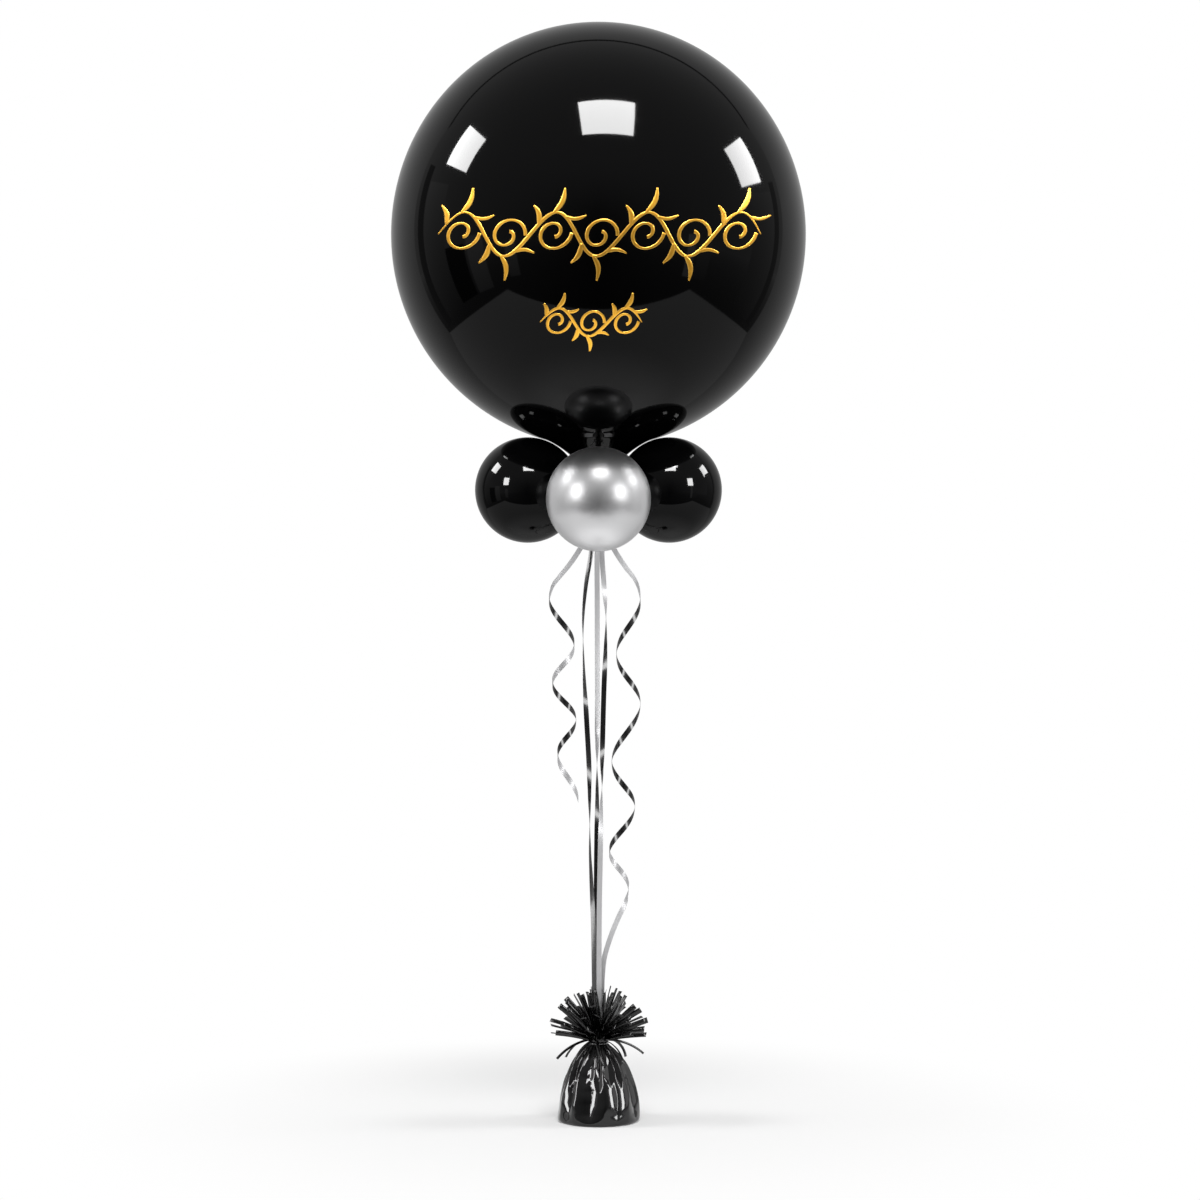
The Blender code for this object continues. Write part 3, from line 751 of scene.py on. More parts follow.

# %% [markdown]
# ## Strokes with a body
# Each stroke becomes a thin closed band round its points. A band stores two numbers
# at every corner, its lift off the skin and how near it is to the stroke's rim, which
# sets the gold's painted highlight, and both come along when the band is laid on the
# balloon.

# %% Strokes as flat bands, before they are laid on the balloon
def stroke_mesh():
    """All strokes as thin closed bands, with their lift off the skin and nearness to the rim."""
    bm = bmesh.new()
    lift = bm.verts.layers.float.new("lift")
    # This layer holds how much of the gold's painted highlight each corner gets.
    rim_highlight_layer = bm.verts.layers.float.new("rim")
    # Across the stroke, millimetres off the skin, nearness to the rim (the weight of the gold's painted
    # highlight).
    section = [(-1.0, .04, 1.0), (-.72, .16, 1.0), (-.38, .20, .25), (0, .21, 0), (.38, .20, .25),
               (.72, .16, 1.0), (1.0, .04, 1.0), (1.0, -.35, 1.0), (-1.0, -.35, 1.0)]
    for number, stroke in enumerate(STROKES):
        path = smooth_route(stroke, 1.1)
        rings = []
        for i, spot in enumerate(path):
            ahead = path[min(i + 1, len(path) - 1)] - path[max(i - 1, 0)]
            across = Vector((-ahead.y, ahead.x)).normalized() * max(spot.z, 0.5) / 2
            ring = []
            for u, height, nearness in section:
                vert = bm.verts.new(drawn(spot.x + across.x * u, spot.y + across.y * u))
                vert[lift] = (height + 0.004 * number) / 1000
                vert[rim_highlight_layer] = nearness
                ring.append(vert)
            rings.append(ring)
        for quad in (quad for row in bridge(bm, rings) for quad in row):
            quad.smooth = True
        bm.faces.new(rings[0])
        bm.faces.new(rings[-1][::-1])
    return as_mesh(bm, "print_strokes")


flat_print = as_object("flat_print", stroke_mesh())
print("flat strokes:", len(flat_print.data.polygons), "faces")

# %% [markdown]
# ## Laying the print on the balloon
# Geometry Nodes can drop any mesh on any surface: shoot a ray from a chosen spot
# through each point, and move the point to where the ray lands, lifted off the skin
# by its own stored amount. The rays start where the camera stands, so the drawing
# keeps its proportions while it wraps round the ball.

# %% Lay the print with Geometry Nodes
lay, lay_in, lay_out = new_group("lay_on_balloon", "GeometryNodeTree", [
    ("Geometry", "INPUT", "NodeSocketGeometry", None),
    ("Geometry", "OUTPUT", "NodeSocketGeometry", None),
    ("Balloon", "INPUT", "NodeSocketObject", None),
    ("Drawn From", "INPUT", "NodeSocketVector", None),
    ("Finish", "INPUT", "NodeSocketMaterial", None),
])
skin = node(lay, "GeometryNodeObjectInfo", {"Object": lay_in["Balloon"]}, transform_space="RELATIVE")
ray = node(lay, "ShaderNodeVectorMath", {
    0: node(lay, "GeometryNodeInputPosition").outputs[0], 1: lay_in["Drawn From"]}, operation="SUBTRACT")
landing = node(lay, "GeometryNodeRaycast", {
    "Target Geometry": skin.outputs["Geometry"], "Source Position": lay_in["Drawn From"],
    "Ray Direction": ray.outputs[0], "Ray Length": 6.0})
stored_lift = node(lay, "GeometryNodeInputNamedAttribute", {"Name": "lift"}, data_type="FLOAT")
raised = node(lay, "ShaderNodeVectorMath", {
    0: landing.outputs["Hit Normal"], "Scale": stored_lift.outputs["Attribute"]}, operation="SCALE")
spot = node(lay, "ShaderNodeVectorMath", {
    0: landing.outputs["Hit Position"], 1: raised.outputs[0]}, operation="ADD")
moved = node(lay, "GeometryNodeSetPosition", {
    "Geometry": lay_in["Geometry"], "Selection": landing.outputs["Is Hit"], "Position": spot.outputs[0]})
whole = node(lay, "GeometryNodeRealizeInstances", {"Geometry": moved.outputs[0]})
painted = node(lay, "GeometryNodeSetMaterial", {"Geometry": whole.outputs[0], "Material": lay_in["Finish"]})
lay.links.new(painted.outputs[0], lay_out.inputs["Geometry"])
print("laying tree:", len(lay.nodes), "nodes")


# %% The gold print
def set_inputs(modifier, **values):
    """Give a Geometry Nodes modifier its inputs by name, before it is first evaluated."""
    for item in modifier.node_group.interface.items_tree:
        if item.item_type == "SOCKET" and item.in_out == "INPUT" and item.name in values:
            modifier[item.identifier] = values.pop(item.name)
    assert not values, values


def plain_mesh(source, name):
    """Turn a node result into a plain mesh in a new object, and drop the source."""
    bpy.context.view_layer.update()
    seen = source.evaluated_get(bpy.context.evaluated_depsgraph_get())
    mesh = bpy.data.meshes.new_from_object(seen)
    made = as_object(name, mesh)
    bpy.data.objects.remove(source, do_unlink=True)
    mesh.name = name
    return made


laying = flat_print.modifiers.new("lay", "NODES")
laying.node_group = lay
set_inputs(laying, **{"Balloon": orb, "Drawn From": CAMERA_SPOT, "Finish": GOLD})
gold_print = plain_mesh(flat_print, "gold_print")
fix = bmesh.new()
fix.from_mesh(gold_print.data)
bmesh.ops.recalc_face_normals(fix, faces=fix.faces)
fix.to_mesh(gold_print.data)
fix.free()
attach(gold_print, "root")
print("gold print:", len(gold_print.data.polygons), "faces")

# %% [markdown]
# ## Black foil
# The weight is wrapped in metallised film, a mirror in black. It is stiff, so it does
# not drape: it breaks into flat facets with hard creases between them. The big facets
# are real geometry, made below. The fine crinkle inside each of them is bump, from a
# group that the wrap and the cut fringe share at different strengths.

# %% Foil crinkle, shared by wrap and fringe
crinkle, crinkle_in, crinkle_out = new_group("foil_crinkle", "ShaderNodeTree", [
    ("Scale", "INPUT", "NodeSocketFloat", 90.0),
    ("Height", "OUTPUT", "NodeSocketFloat", None),
    ("Scuff", "OUTPUT", "NodeSocketFloat", None),
])
foil_place = node(crinkle, "ShaderNodeTexCoord").outputs["Object"]
cells = node(crinkle, "ShaderNodeTexVoronoi", {"Vector": foil_place, "Scale": crinkle_in["Scale"]},
             feature="DISTANCE_TO_EDGE")
ripples = node(crinkle, "ShaderNodeTexNoise", {
    "Vector": foil_place, "Scale": crinkle_in["Scale"], "Detail": 1.5})
crinkle.links.new(calc(crinkle, "ADD", calc(crinkle, "MULTIPLY", cells.outputs["Distance"], 0.6),
                       ripples.outputs["Fac"]), crinkle_out.inputs["Height"])
crinkle.links.new(ripples.outputs["Fac"], crinkle_out.inputs["Scuff"])
print("foil crinkle:", len(crinkle.nodes), "nodes")

# %% The two foils
FOIL_LOOK = {"colour": (0.0008, 0.0008, 0.0009), "ior": 1.55,
             "effect": crinkle, "vary_by": "Scuff", "depth": 0.0004}
WRAP_FOIL = varied_finish("wrap_foil", smooth=0.05, rough=0.10, bump=0.07, Scale=110.0, **FOIL_LOOK)
FRINGE_FOIL = varied_finish("fringe_foil", smooth=0.10, rough=0.18, bump=0.25, Scale=160.0, **FOIL_LOOK)
print("foil:", WRAP_FOIL.name, FRINGE_FOIL.name)

# %% [markdown]
# ## The wrapped bell
# Film gathered at a neck and spread over a round weight makes pleats: many small
# ones at the neck, which stop at different heights, and a few broad folds that run on
# down to the base. Stiff film bends along lines, so each side of a fold is almost
# flat. The mesh's columns follow the crests, which keeps every crease sharp although
# the crests wander.

# %% Pleats of the bell
PLEATS = 18
COLUMN_SHARES = (0, .035, .08, .14, .22, .32, .42, .5, .58, .68, .78, .86, .92, .965)   # across a pleat
BROAD_FOLDS = (0, 2, 4, 6, 8, 10, 12, 14, 16)   # pleats whose crest runs on to the base
BELL_PROFILE = [             # radius, height
    (.0364, .0000), (.0391, .0008), (.0405, .0036), (.0404, .0110), (.0395, .0210), (.0368, .0330),
    (.0331, .0440), (.0287, .0540), (.0230, .0620), (.0166, .0690), (.0116, .0733), (.0088, .0757)]
PLEAT_DEPTH = [(.026, .0014), (.045, .0026), (.060, .0028), (.069, .0020), (.0733, .0010), (.0757, .0005)]
PLEAT_STOP = 0.0335           # height where a pleat's crest runs out, give or take a little
PLEAT_TOE = 0.0105            # how much further down a pleat's valley runs than its crests
TOE_SLOPE = 0.30              # how gently a pleat's foot comes up to the surface
PLEAT_CREST, BROAD_CREST = 0.09, 0.07     # share of a fold that its rounded crest takes
BROAD_DEPTH = [(.0, .0), (.0012, .0003), (.0036, .0010), (.011, .0028), (.021, .0040), (.033, .0042),
               (.044, .0028), (.055, .0012), (.063, .0)]


def read_off(table, at):
    """The value at a place in a table of places and values, with straight runs between."""
    for (a, low), (b, high) in zip(table, table[1:]):
        if at <= b:
            return low + (high - low) * max(0.0, (at - a) / (b - a))
    return table[-1][1]


def chance_of(number, kind):
    """A fixed random number from -1 to 1 for each pleat."""
    return max(-1.0, min(1.0, 1.9 * noise.noise(Vector((number * 1.731 + 0.37, kind * 5.37, 4.2)))))


def crest(k, height):
    """The angle of a pleat's crest at a height."""
    loops, number = divmod(k, PLEATS)
    drift = 0.30 * chance_of(number, 1) + 0.32 * noise.noise(Vector((number * 0.9, height * 42, 1.5)))
    return math.tau * (number + drift) / PLEATS + math.tau * loops


def fold(share, crest_width):
    """Depth of a fold, from 0 at its rounded crests to 1 in its valley, with flat sides."""
    near = min(share, 1 - share)
    rounded = near * near / (2 * crest_width) if near < crest_width else near - crest_width / 2
    return rounded / (0.5 - crest_width / 2)


def bell_reach(k, share, height, radius):
    """How far out the film is, at a place between two crests."""
    stop = PLEAT_STOP + 0.0045 * chance_of(k, 2) + PLEAT_TOE * abs(2 * share - 1)
    deep = read_off(PLEAT_DEPTH, height) * (0.85 + 0.35 * chance_of(k, 3)) * fold(share, PLEAT_CREST)
    deep = min(deep, TOE_SLOPE * max(0.0, height - stop))
    left = max(b for b in BROAD_FOLDS if b <= k)
    right = min([b for b in BROAD_FOLDS if b > k] + [PLEATS])
    at = crest(k, height) * (1 - share) + crest(k + 1, height) * share
    wide = (at - crest(left, height)) / (crest(right, height) - crest(left, height))
    broad = read_off(BROAD_DEPTH, height) * (0.85 + 0.45 * chance_of(left, 4))
    return at, radius - deep - broad * fold(wide, BROAD_CREST)


print("bell plan:", PLEATS, "pleats,", len(BROAD_FOLDS), "of them down to the base")

# %% Bell
bell_bm = bmesh.new()
rows = []
for level in smooth_route([(radius, 0, height) for radius, height in BELL_PROFILE], 0.0010):
    row = []
    for k, share in ((k, share) for k in range(PLEATS) for share in COLUMN_SHARES):
        angle, reach = bell_reach(k, share, level.z, level.x)
        row.append(bell_bm.verts.new((reach * math.cos(angle), reach * math.sin(angle), level.z)))
    rows.append(row)
for quad in (quad for faces in bridge(bell_bm, rows) for quad in faces):
    quad.smooth = True
bell_bm.faces.new(rows[0])
bell_bm.faces.new(rows[-1][::-1])
bell_mesh = as_mesh(bell_bm, "weight_bell", WRAP_FOIL)
bell_mesh.set_sharp_from_angle(angle=math.radians(30))
bell = as_object("weight_bell", bell_mesh)
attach(bell, "root")
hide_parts("weight_wrap")
print("bell:", len(bell_mesh.polygons), "faces")

# %% [markdown]
# ## The fringe
# Above the tie, the film is cut into narrow strips that spring out in all directions.
# They repeat, so Geometry Nodes make them, one tier at a time: a flat grid is placed
# once for every strip, and each copy is bent along an arc of its own. An arc that
# starts at an angle and bends by an amount has a plain formula, so the tree just works
# out where every point of a strip goes.

# %% A tier of strips with Geometry Nodes
tier, tier_in, tier_out = new_group("fringe_tier", "GeometryNodeTree", [
    ("Geometry", "INPUT", "NodeSocketGeometry", None),
    ("Geometry", "OUTPUT", "NodeSocketGeometry", None),
    ("Strips", "INPUT", "NodeSocketInt", 12),
    ("Root Radius", "INPUT", "NodeSocketFloat", .01),
    ("Root Height", "INPUT", "NodeSocketFloat", .08),
    ("Lift", "INPUT", "NodeSocketFloat", 0.4),
    ("Bend", "INPUT", "NodeSocketFloat", 0.4),
    ("Length", "INPUT", "NodeSocketFloat", .038),
    ("Width", "INPUT", "NodeSocketFloat", .0050),
    ("Start", "INPUT", "NodeSocketFloat", 0.0),
    ("Seed", "INPUT", "NodeSocketInt", 1),
    ("Finish", "INPUT", "NodeSocketMaterial", None),
])


def chance(low, high, offset):
    """A random number for each strip, the same on every run."""
    return node(tier, "FunctionNodeRandomValue", {
        "Min": low, "Max": high, "ID": node(tier, "GeometryNodeInputIndex").outputs[0],
        "Seed": calc(tier, "ADD", tier_in["Seed"], offset)}, data_type="FLOAT").outputs["Value"]


def remember(geometry, name, value, domain="POINT"):
    """Store a number on the geometry under a name."""
    return node(tier, "GeometryNodeStoreNamedAttribute", {
        "Geometry": geometry, "Name": name, "Value": value}, data_type="FLOAT", domain=domain).outputs[0]


def recall(name):
    """Read a stored number back."""
    return node(tier, "GeometryNodeInputNamedAttribute", {"Name": name},
                data_type="FLOAT").outputs["Attribute"]


plus, minus, times, over, sine, cosine = (
    functools.partial(calc, tier, operation)
    for operation in ("ADD", "SUBTRACT", "MULTIPLY", "DIVIDE", "SINE", "COSINE"))
print("tier inputs:", len(tier_in))

# %% One strip, and a copy for every place in the tier
place = node(tier, "ShaderNodeSeparateXYZ", {
    "Vector": node(tier, "GeometryNodeInputPosition").outputs[0]}).outputs
strip = node(tier, "GeometryNodeMeshGrid", {
    "Size X": 1.0, "Size Y": 1.0, "Vertices X": 11, "Vertices Y": 3}).outputs["Mesh"]
strip = remember(strip, "s", plus(place["X"], 0.5))
strip = remember(strip, "t", place["Y"])
roots = node(tier, "GeometryNodePoints", {"Count": tier_in["Strips"]}).outputs[0]
copies = node(tier, "GeometryNodeInstanceOnPoints", {"Points": roots, "Instance": strip}).outputs[0]
index = node(tier, "GeometryNodeInputIndex").outputs[0]
turn_share = over(plus(plus(index, tier_in["Start"]), chance(-0.14, 0.14, 0)), tier_in["Strips"])
copies = remember(copies, "turn", times(turn_share, math.tau), "INSTANCE")
copies = remember(copies, "rise", plus(tier_in["Lift"], chance(-0.12, 0.12, 1)), "INSTANCE")
copies = remember(copies, "bend", times(tier_in["Bend"], chance(0.55, 1.45, 2)), "INSTANCE")
copies = remember(copies, "long", times(tier_in["Length"], chance(0.92, 1.06, 3)), "INSTANCE")
copies = remember(copies, "roll", chance(-1.5, 1.5, 6), "INSTANCE")
copies = remember(copies, "twist", chance(-0.5, 0.5, 4), "INSTANCE")
copies = remember(copies, "sway", chance(-0.22, 0.22, 5), "INSTANCE")
strips = node(tier, "GeometryNodeRealizeInstances", {"Geometry": copies}).outputs[0]
print("tier tree so far:", len(tier.nodes), "nodes")

# %% [markdown]
# ## How a strip bends
# Along a strip, s runs from 0 at its root to 1 at its tip, and t from -0.5 to 0.5 across
# it. A strip that rises at an angle and bends evenly is an arc, so its way out and its
# way up are differences of sines and cosines. Its width is then rolled about the arc,
# cupped a little, and swayed to one side towards the tip.

# %% Bend every strip
CUP = 0.0022
s, t, turn, rise, bend, long = (recall(n) for n in ("s", "t", "turn", "rise", "bend", "long"))
slope = minus(rise, times(bend, s))
per_bend = over(long, bend)
out = times(per_bend, minus(sine(rise), sine(slope)))
up = times(per_bend, minus(cosine(slope), cosine(rise)))
wide = times(tier_in["Width"], t)
roll = plus(recall("roll"), times(recall("twist"), s))
cup = times(minus(0.25, times(t, t)), CUP)
stand = plus(times(wide, sine(roll)), cup)
across = plus(times(wide, cosine(roll)),
           times(times(long, recall("sway")), times(s, s)))
radial = minus(plus(tier_in["Root Radius"], out), times(sine(slope), stand))
height = plus(plus(tier_in["Root Height"], up), times(cosine(slope), stand))
strip_spot = node(tier, "ShaderNodeCombineXYZ", {
    "X": minus(times(cosine(turn), radial), times(sine(turn), across)),
    "Y": plus(times(sine(turn), radial), times(cosine(turn), across)),
    "Z": height})
bent = node(tier, "GeometryNodeSetPosition", {"Geometry": strips, "Position": strip_spot.outputs[0]})
painted = node(tier, "GeometryNodeSetMaterial", {"Geometry": bent.outputs[0], "Material": tier_in["Finish"]})
tier_join = node(tier, "GeometryNodeJoinGeometry")
tier.links.new(tier_in["Geometry"], tier_join.inputs[0])
tier.links.new(painted.outputs[0], tier_join.inputs[0])
tier.links.new(tier_join.outputs[0], tier_out.inputs["Geometry"])
print("fringe tree:", len(tier.nodes), "nodes")

# %% Fringe
FILM_WALL = 0.00018       # thickness
CORE_OUTLINE = [(0, .1005), (.0045, .1005), (.0066, .0990), (.0078, .0945), (.0087, .0895), (.0093, .0845),
                (.0095, .0805), (.0092, .0778), (.0086, .0760), (0, .0760)]
core = turned_piece("fringe_core", CORE_OUTLINE, 48, FRINGE_FOIL, pleat=0.0035, pleats=12)
TIERS = [      # strips, root radius, root height, lift and bend in degrees, length, width, start
    (8, .0088, .0788, -6, 46, .0410, .0026, 0.0), (12, .0090, .0798, 15, 14, .0385, .0052, 0.3),
    (15, .0086, .0825, 26, 9, .0400, .0056, 0.0), (15, .0080, .0850, 41, 7, .0395, .0056, 0.5),
    (13, .0072, .0880, 56, 6, .0385, .0056, 0.2), (10, .0056, .0920, 70, 4, .0365, .0054, 0.6),
    (7, .0038, .0960, 82, 3, .0335, .0052, 0.0)]
for number, (count, radius, height, lift, bend_by, length, width, start) in enumerate(TIERS):
    ring = core.modifiers.new(f"tier_{number}", "NODES")
    ring.node_group = tier
    set_inputs(ring, **{
        "Strips": count, "Root Radius": radius, "Root Height": height, "Lift": math.radians(lift),
        "Bend": math.radians(bend_by), "Length": length, "Width": width, "Start": start,
        "Seed": 20 + 7 * number, "Finish": FRINGE_FOIL})
fringe = plain_mesh(core, "weight_tuft")
for polygon in fringe.data.polygons:
    polygon.use_smooth = True
wall = fringe.modifiers.new("film", "SOLIDIFY")
wall.thickness = FILM_WALL
wall.offset = 0.0
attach(fringe, "root")
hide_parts("weight_fringe")
print("fringe:", len(fringe.data.polygons), "faces")

# %% [markdown]
# ## The tie
# A pale twisted thread holds the neck of the wrap. From any distance its twist reads
# as a row of small slanted lays, so one lay is copied along a circle.

# %% Thread
TIE_THREAD, thread, thread_shader = new_material("tie_thread")
thread_shader.inputs["Roughness"].default_value = 0.55
thread_fibres = node(thread, "ShaderNodeTexNoise", {
    "Vector": node(thread, "ShaderNodeTexCoord").outputs["Object"], "Scale": 3500.0, "Detail": 2.0})
thread_tone = node(thread, "ShaderNodeMapRange", {
    "Value": thread_fibres.outputs["Fac"], "To Min": 0.30, "To Max": 0.60})
thread.links.new(thread_tone.outputs["Result"], thread_shader.inputs["Base Color"])
print("thread:", TIE_THREAD.name)

# %% Tie with Geometry Nodes
TIE_HEIGHT = 0.0757
tie, tie_in, tie_out = new_group("twisted_thread", "GeometryNodeTree", [
    ("Geometry", "INPUT", "NodeSocketGeometry", None),
    ("Geometry", "OUTPUT", "NodeSocketGeometry", None),
    ("Ring Radius", "INPUT", "NodeSocketFloat", .0096),
    ("Lays", "INPUT", "NodeSocketInt", 48),
    ("Lay Length", "INPUT", "NodeSocketFloat", .0017),
    ("Thread Radius", "INPUT", "NodeSocketFloat", .00045),
    ("Slant", "INPUT", "NodeSocketFloat", 0.6),
    ("Finish", "INPUT", "NodeSocketMaterial", None),
])
circle = node(tie, "GeometryNodeCurvePrimitiveCircle", {"Resolution": 96, "Radius": tie_in["Ring Radius"]})
stops = node(tie, "GeometryNodeCurveToPoints", {
    "Curve": circle.outputs[0], "Count": tie_in["Lays"]}, mode="COUNT")
one_lay = node(tie, "GeometryNodeMeshUVSphere", {"Segments": 8, "Rings": 6, "Radius": 1.0})
lay_size = node(tie, "ShaderNodeCombineXYZ", {
    "X": tie_in["Thread Radius"], "Y": tie_in["Thread Radius"],
    "Z": calc(tie, "MULTIPLY", tie_in["Lay Length"], 0.5)})
slant = node(tie, "FunctionNodeAxisAngleToRotation", {"Axis": (1, 0, 0), "Angle": tie_in["Slant"]})
slanted = node(tie, "FunctionNodeRotateRotation", {
    "Rotation": stops.outputs["Rotation"], "Rotate By": slant.outputs[0]}, rotation_space="LOCAL")
lays = node(tie, "GeometryNodeInstanceOnPoints", {
    "Points": stops.outputs["Points"], "Instance": one_lay.outputs["Mesh"],
    "Rotation": slanted.outputs[0], "Scale": lay_size.outputs[0]})
smooth_lays = node(tie, "GeometryNodeSetShadeSmooth", {
    "Geometry": node(tie, "GeometryNodeRealizeInstances", {"Geometry": lays.outputs[0]}).outputs[0]})
painted = node(tie, "GeometryNodeSetMaterial", {
    "Geometry": smooth_lays.outputs[0], "Material": tie_in["Finish"]})
tie.links.new(painted.outputs[0], tie_out.inputs["Geometry"])

tie_source = as_object("tie_source", bpy.data.meshes.new("tie_source"))
winding = tie_source.modifiers.new("twist", "NODES")
winding.node_group = tie
set_inputs(winding, **{"Lays": 34, "Lay Length": .0014, "Thread Radius": .00032, "Finish": TIE_THREAD})
tie_piece = plain_mesh(tie_source, "neck_tie")
tie_piece.data.transform(Matrix.Translation((0, 0, TIE_HEIGHT)))
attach(tie_piece, "root")
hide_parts("weight_tie")
print("tie:", len(tie_piece.data.polygons), "faces")

# %% [markdown]
# ## The studio
# Glossy black shows nothing but its surroundings, so the studio matters as much as
# the object. It is a roll of white paper on the floor and up behind, stands and plain
# walls at the sides, three bright soft boxes above, and a dim room. The camera sees
# plain white all round. Reflections see the room instead, because the world shader
# asks whether a ray comes from the camera.

# %% World
LOW_ROOM, SIDE_ROOM, HIGH_ROOM = 0.03, 0.32, 0.35     # radiance: low down, what the sides add, high up
world = bpy.data.worlds.new("studio")
bpy.context.scene.world = world
world.use_nodes = True
sky = world.node_tree
sky.nodes.clear()
way = node(sky, "ShaderNodeSeparateXYZ", {
    "Vector": node(sky, "ShaderNodeTexCoord").outputs["Generated"]}).outputs
low_room = calc(sky, "MULTIPLY_ADD", calc(sky, "ABSOLUTE", way["X"]), SIDE_ROOM, LOW_ROOM)
room_light = node(sky, "ShaderNodeMapRange", {
    "Value": way["Z"], "From Min": -0.10, "From Max": 0.60, "To Min": low_room, "To Max": HIGH_ROOM},
    interpolation_type="SMOOTHSTEP").outputs[0]
room = node(sky, "ShaderNodeBackground", {"Color": (1, 1, 1, 1), "Strength": room_light})
plain = node(sky, "ShaderNodeBackground", {"Color": (1, 1, 1, 1), "Strength": 1.0})
asked = node(sky, "ShaderNodeLightPath").outputs["Is Camera Ray"]
both = node(sky, "ShaderNodeMixShader", {0: asked, 1: room.outputs[0], 2: plain.outputs[0]})
node(sky, "ShaderNodeOutputWorld", {"Surface": both.outputs[0]})
print("world:", len(sky.nodes), "nodes")

# %% [markdown]
# ## The floor
# The floor looks different by distance and by the kind of ray that meets it. Next to
# the weight it is real white paper and takes a soft shadow. Further out the camera
# sees plain white, and a reflection sees a sheet that is brighter in front and
# brighter at its sides, with a dim floor round it.

# %% Floor
FLOOR_HALF = 6.0           # half its side
PAPER_SIDE = 1.42          # half the width of the paper, which widens a little to the back
PAPER_FLARE = 0.12
PAPER_FRONT = -0.93
PAPER_TONE, PAPER_GLOW = 0.90, 0.10
FADE_FROM, FADE_TO = 0.16, 0.55     # distances at which paper turns into plain white
FLOOR, ground = new_material("floor_sheet")[:2]
ground.nodes.clear()
ground_place = node(ground, "ShaderNodeTexCoord").outputs["Object"]
ground_xyz = node(ground, "ShaderNodeSeparateXYZ", {"Vector": ground_place}).outputs
aside = calc(ground, "ABSOLUTE", ground_xyz["X"])
paper_edge = calc(ground, "MULTIPLY_ADD", ground_xyz["Y"], PAPER_FLARE, PAPER_SIDE)
on_paper = calc(ground, "MULTIPLY", calc(ground, "LESS_THAN", aside, paper_edge),
                calc(ground, "GREATER_THAN", ground_xyz["Y"], PAPER_FRONT))
lit = node(ground, "ShaderNodeBsdfDiffuse", {"Color": (PAPER_TONE, PAPER_TONE, PAPER_TONE, 1)})
glow = node(ground, "ShaderNodeEmission", {"Color": (1, 1, 1, 1), "Strength": PAPER_GLOW})
near = node(ground, "ShaderNodeAddShader", {0: lit.outputs[0], 1: glow.outputs[0]})
far = node(ground, "ShaderNodeEmission", {"Color": (1, 1, 1, 1), "Strength": 1.0})
faded = node(ground, "ShaderNodeMapRange", {
    "Value": node(ground, "ShaderNodeVectorMath", {0: ground_place}, operation="LENGTH").outputs["Value"],
    "From Min": FADE_FROM, "From Max": FADE_TO}, interpolation_type="SMOOTHSTEP").outputs[0]
seen = node(ground, "ShaderNodeMixShader", {0: faded, 1: near.outputs[0], 2: far.outputs[0]})
sheet_light = node(ground, "ShaderNodeMapRange", {
    "Value": ground_xyz["Y"], "From Min": -0.9, "From Max": 0.7, "To Min": 0.72, "To Max": 0.36})
paper_light = calc(ground, "ADD", sheet_light.outputs[0], calc(ground, "MULTIPLY", aside, 0.10))
bare_light = calc(ground, "MULTIPLY_ADD", aside, 0.06, 0.01)
ground_light = node(ground, "ShaderNodeMapRange", {
    "Value": on_paper, "To Min": bare_light, "To Max": paper_light}).outputs[0]
mirrored = node(ground, "ShaderNodeEmission", {"Color": (1, 1, 1, 1), "Strength": ground_light})
reflected = node(ground, "ShaderNodeMixShader", {0: faded, 1: near.outputs[0], 2: mirrored.outputs[0]})
glossy_ray = node(ground, "ShaderNodeLightPath").outputs["Is Glossy Ray"]
surface = node(ground, "ShaderNodeMixShader", {0: glossy_ray, 1: seen.outputs[0], 2: reflected.outputs[0]})
node(ground, "ShaderNodeOutputMaterial", {"Surface": surface.outputs[0]})
floor_mesh = bpy.data.meshes.new("floor")
floor_mesh.from_pydata([(x * FLOOR_HALF, y * FLOOR_HALF, 0) for x, y in ((-1, -1), (1, -1), (1, 1), (-1, 1))],
                       [], [(0, 1, 2, 3)])
floor_mesh.materials.append(FLOOR)
floor = as_object("floor", floor_mesh)
print("floor:", 2 * FLOOR_HALF, "m square")

# %% [markdown]
# ## What stands round the paper
# The reflections in a black ball show a whole studio: the paper's backdrop, stands,
# plain walls, and narrow strips of light in front. Each is an upright card whose
# brightness runs from one value at its foot to another at its top. Cards show in
# reflections alone: the camera doesn't see them, and matt surfaces get no light from them.

# %% What stands round the paper
def card(name, start, end, foot, top, foot_light, top_light, foot_bow=0.0, top_bow=0.0):
    """An upright card over two floor spots, with bowed edges. Only reflections see it."""
    columns = 16
    spots = []
    for i in range(columns + 1):
        t = i / columns
        bow = 1 - (2 * t - 1) ** 2
        x = start[0] + (end[0] - start[0]) * t
        y = start[1] + (end[1] - start[1]) * t
        spots += [(x, y, foot + foot_bow * bow), (x, y, top + top_bow * bow)]
    mesh = bpy.data.meshes.new(name)
    mesh.from_pydata(spots, [], [(2 * i, 2 * i + 2, 2 * i + 3, 2 * i + 1) for i in range(columns)])
    finish, tree = new_material(name)[:2]
    tree.nodes.clear()
    spot = node(tree, "ShaderNodeSeparateXYZ", {"Vector": node(tree, "ShaderNodeTexCoord").outputs["Object"]})
    light = node(tree, "ShaderNodeMapRange", {
        "Value": spot.outputs["Z"], "From Min": foot, "From Max": top,
        "To Min": foot_light, "To Max": top_light}).outputs[0]
    shine = node(tree, "ShaderNodeEmission", {"Color": (1, 1, 1, 1), "Strength": light})
    node(tree, "ShaderNodeOutputMaterial", {"Surface": shine.outputs[0]})
    finish.cycles.emission_sampling = "NONE"
    mesh.materials.append(finish)
    made = as_object(name, mesh)
    made.visible_camera = False
    made.visible_diffuse = False
    made.visible_shadow = False
    made.visible_transmission = False
    return made


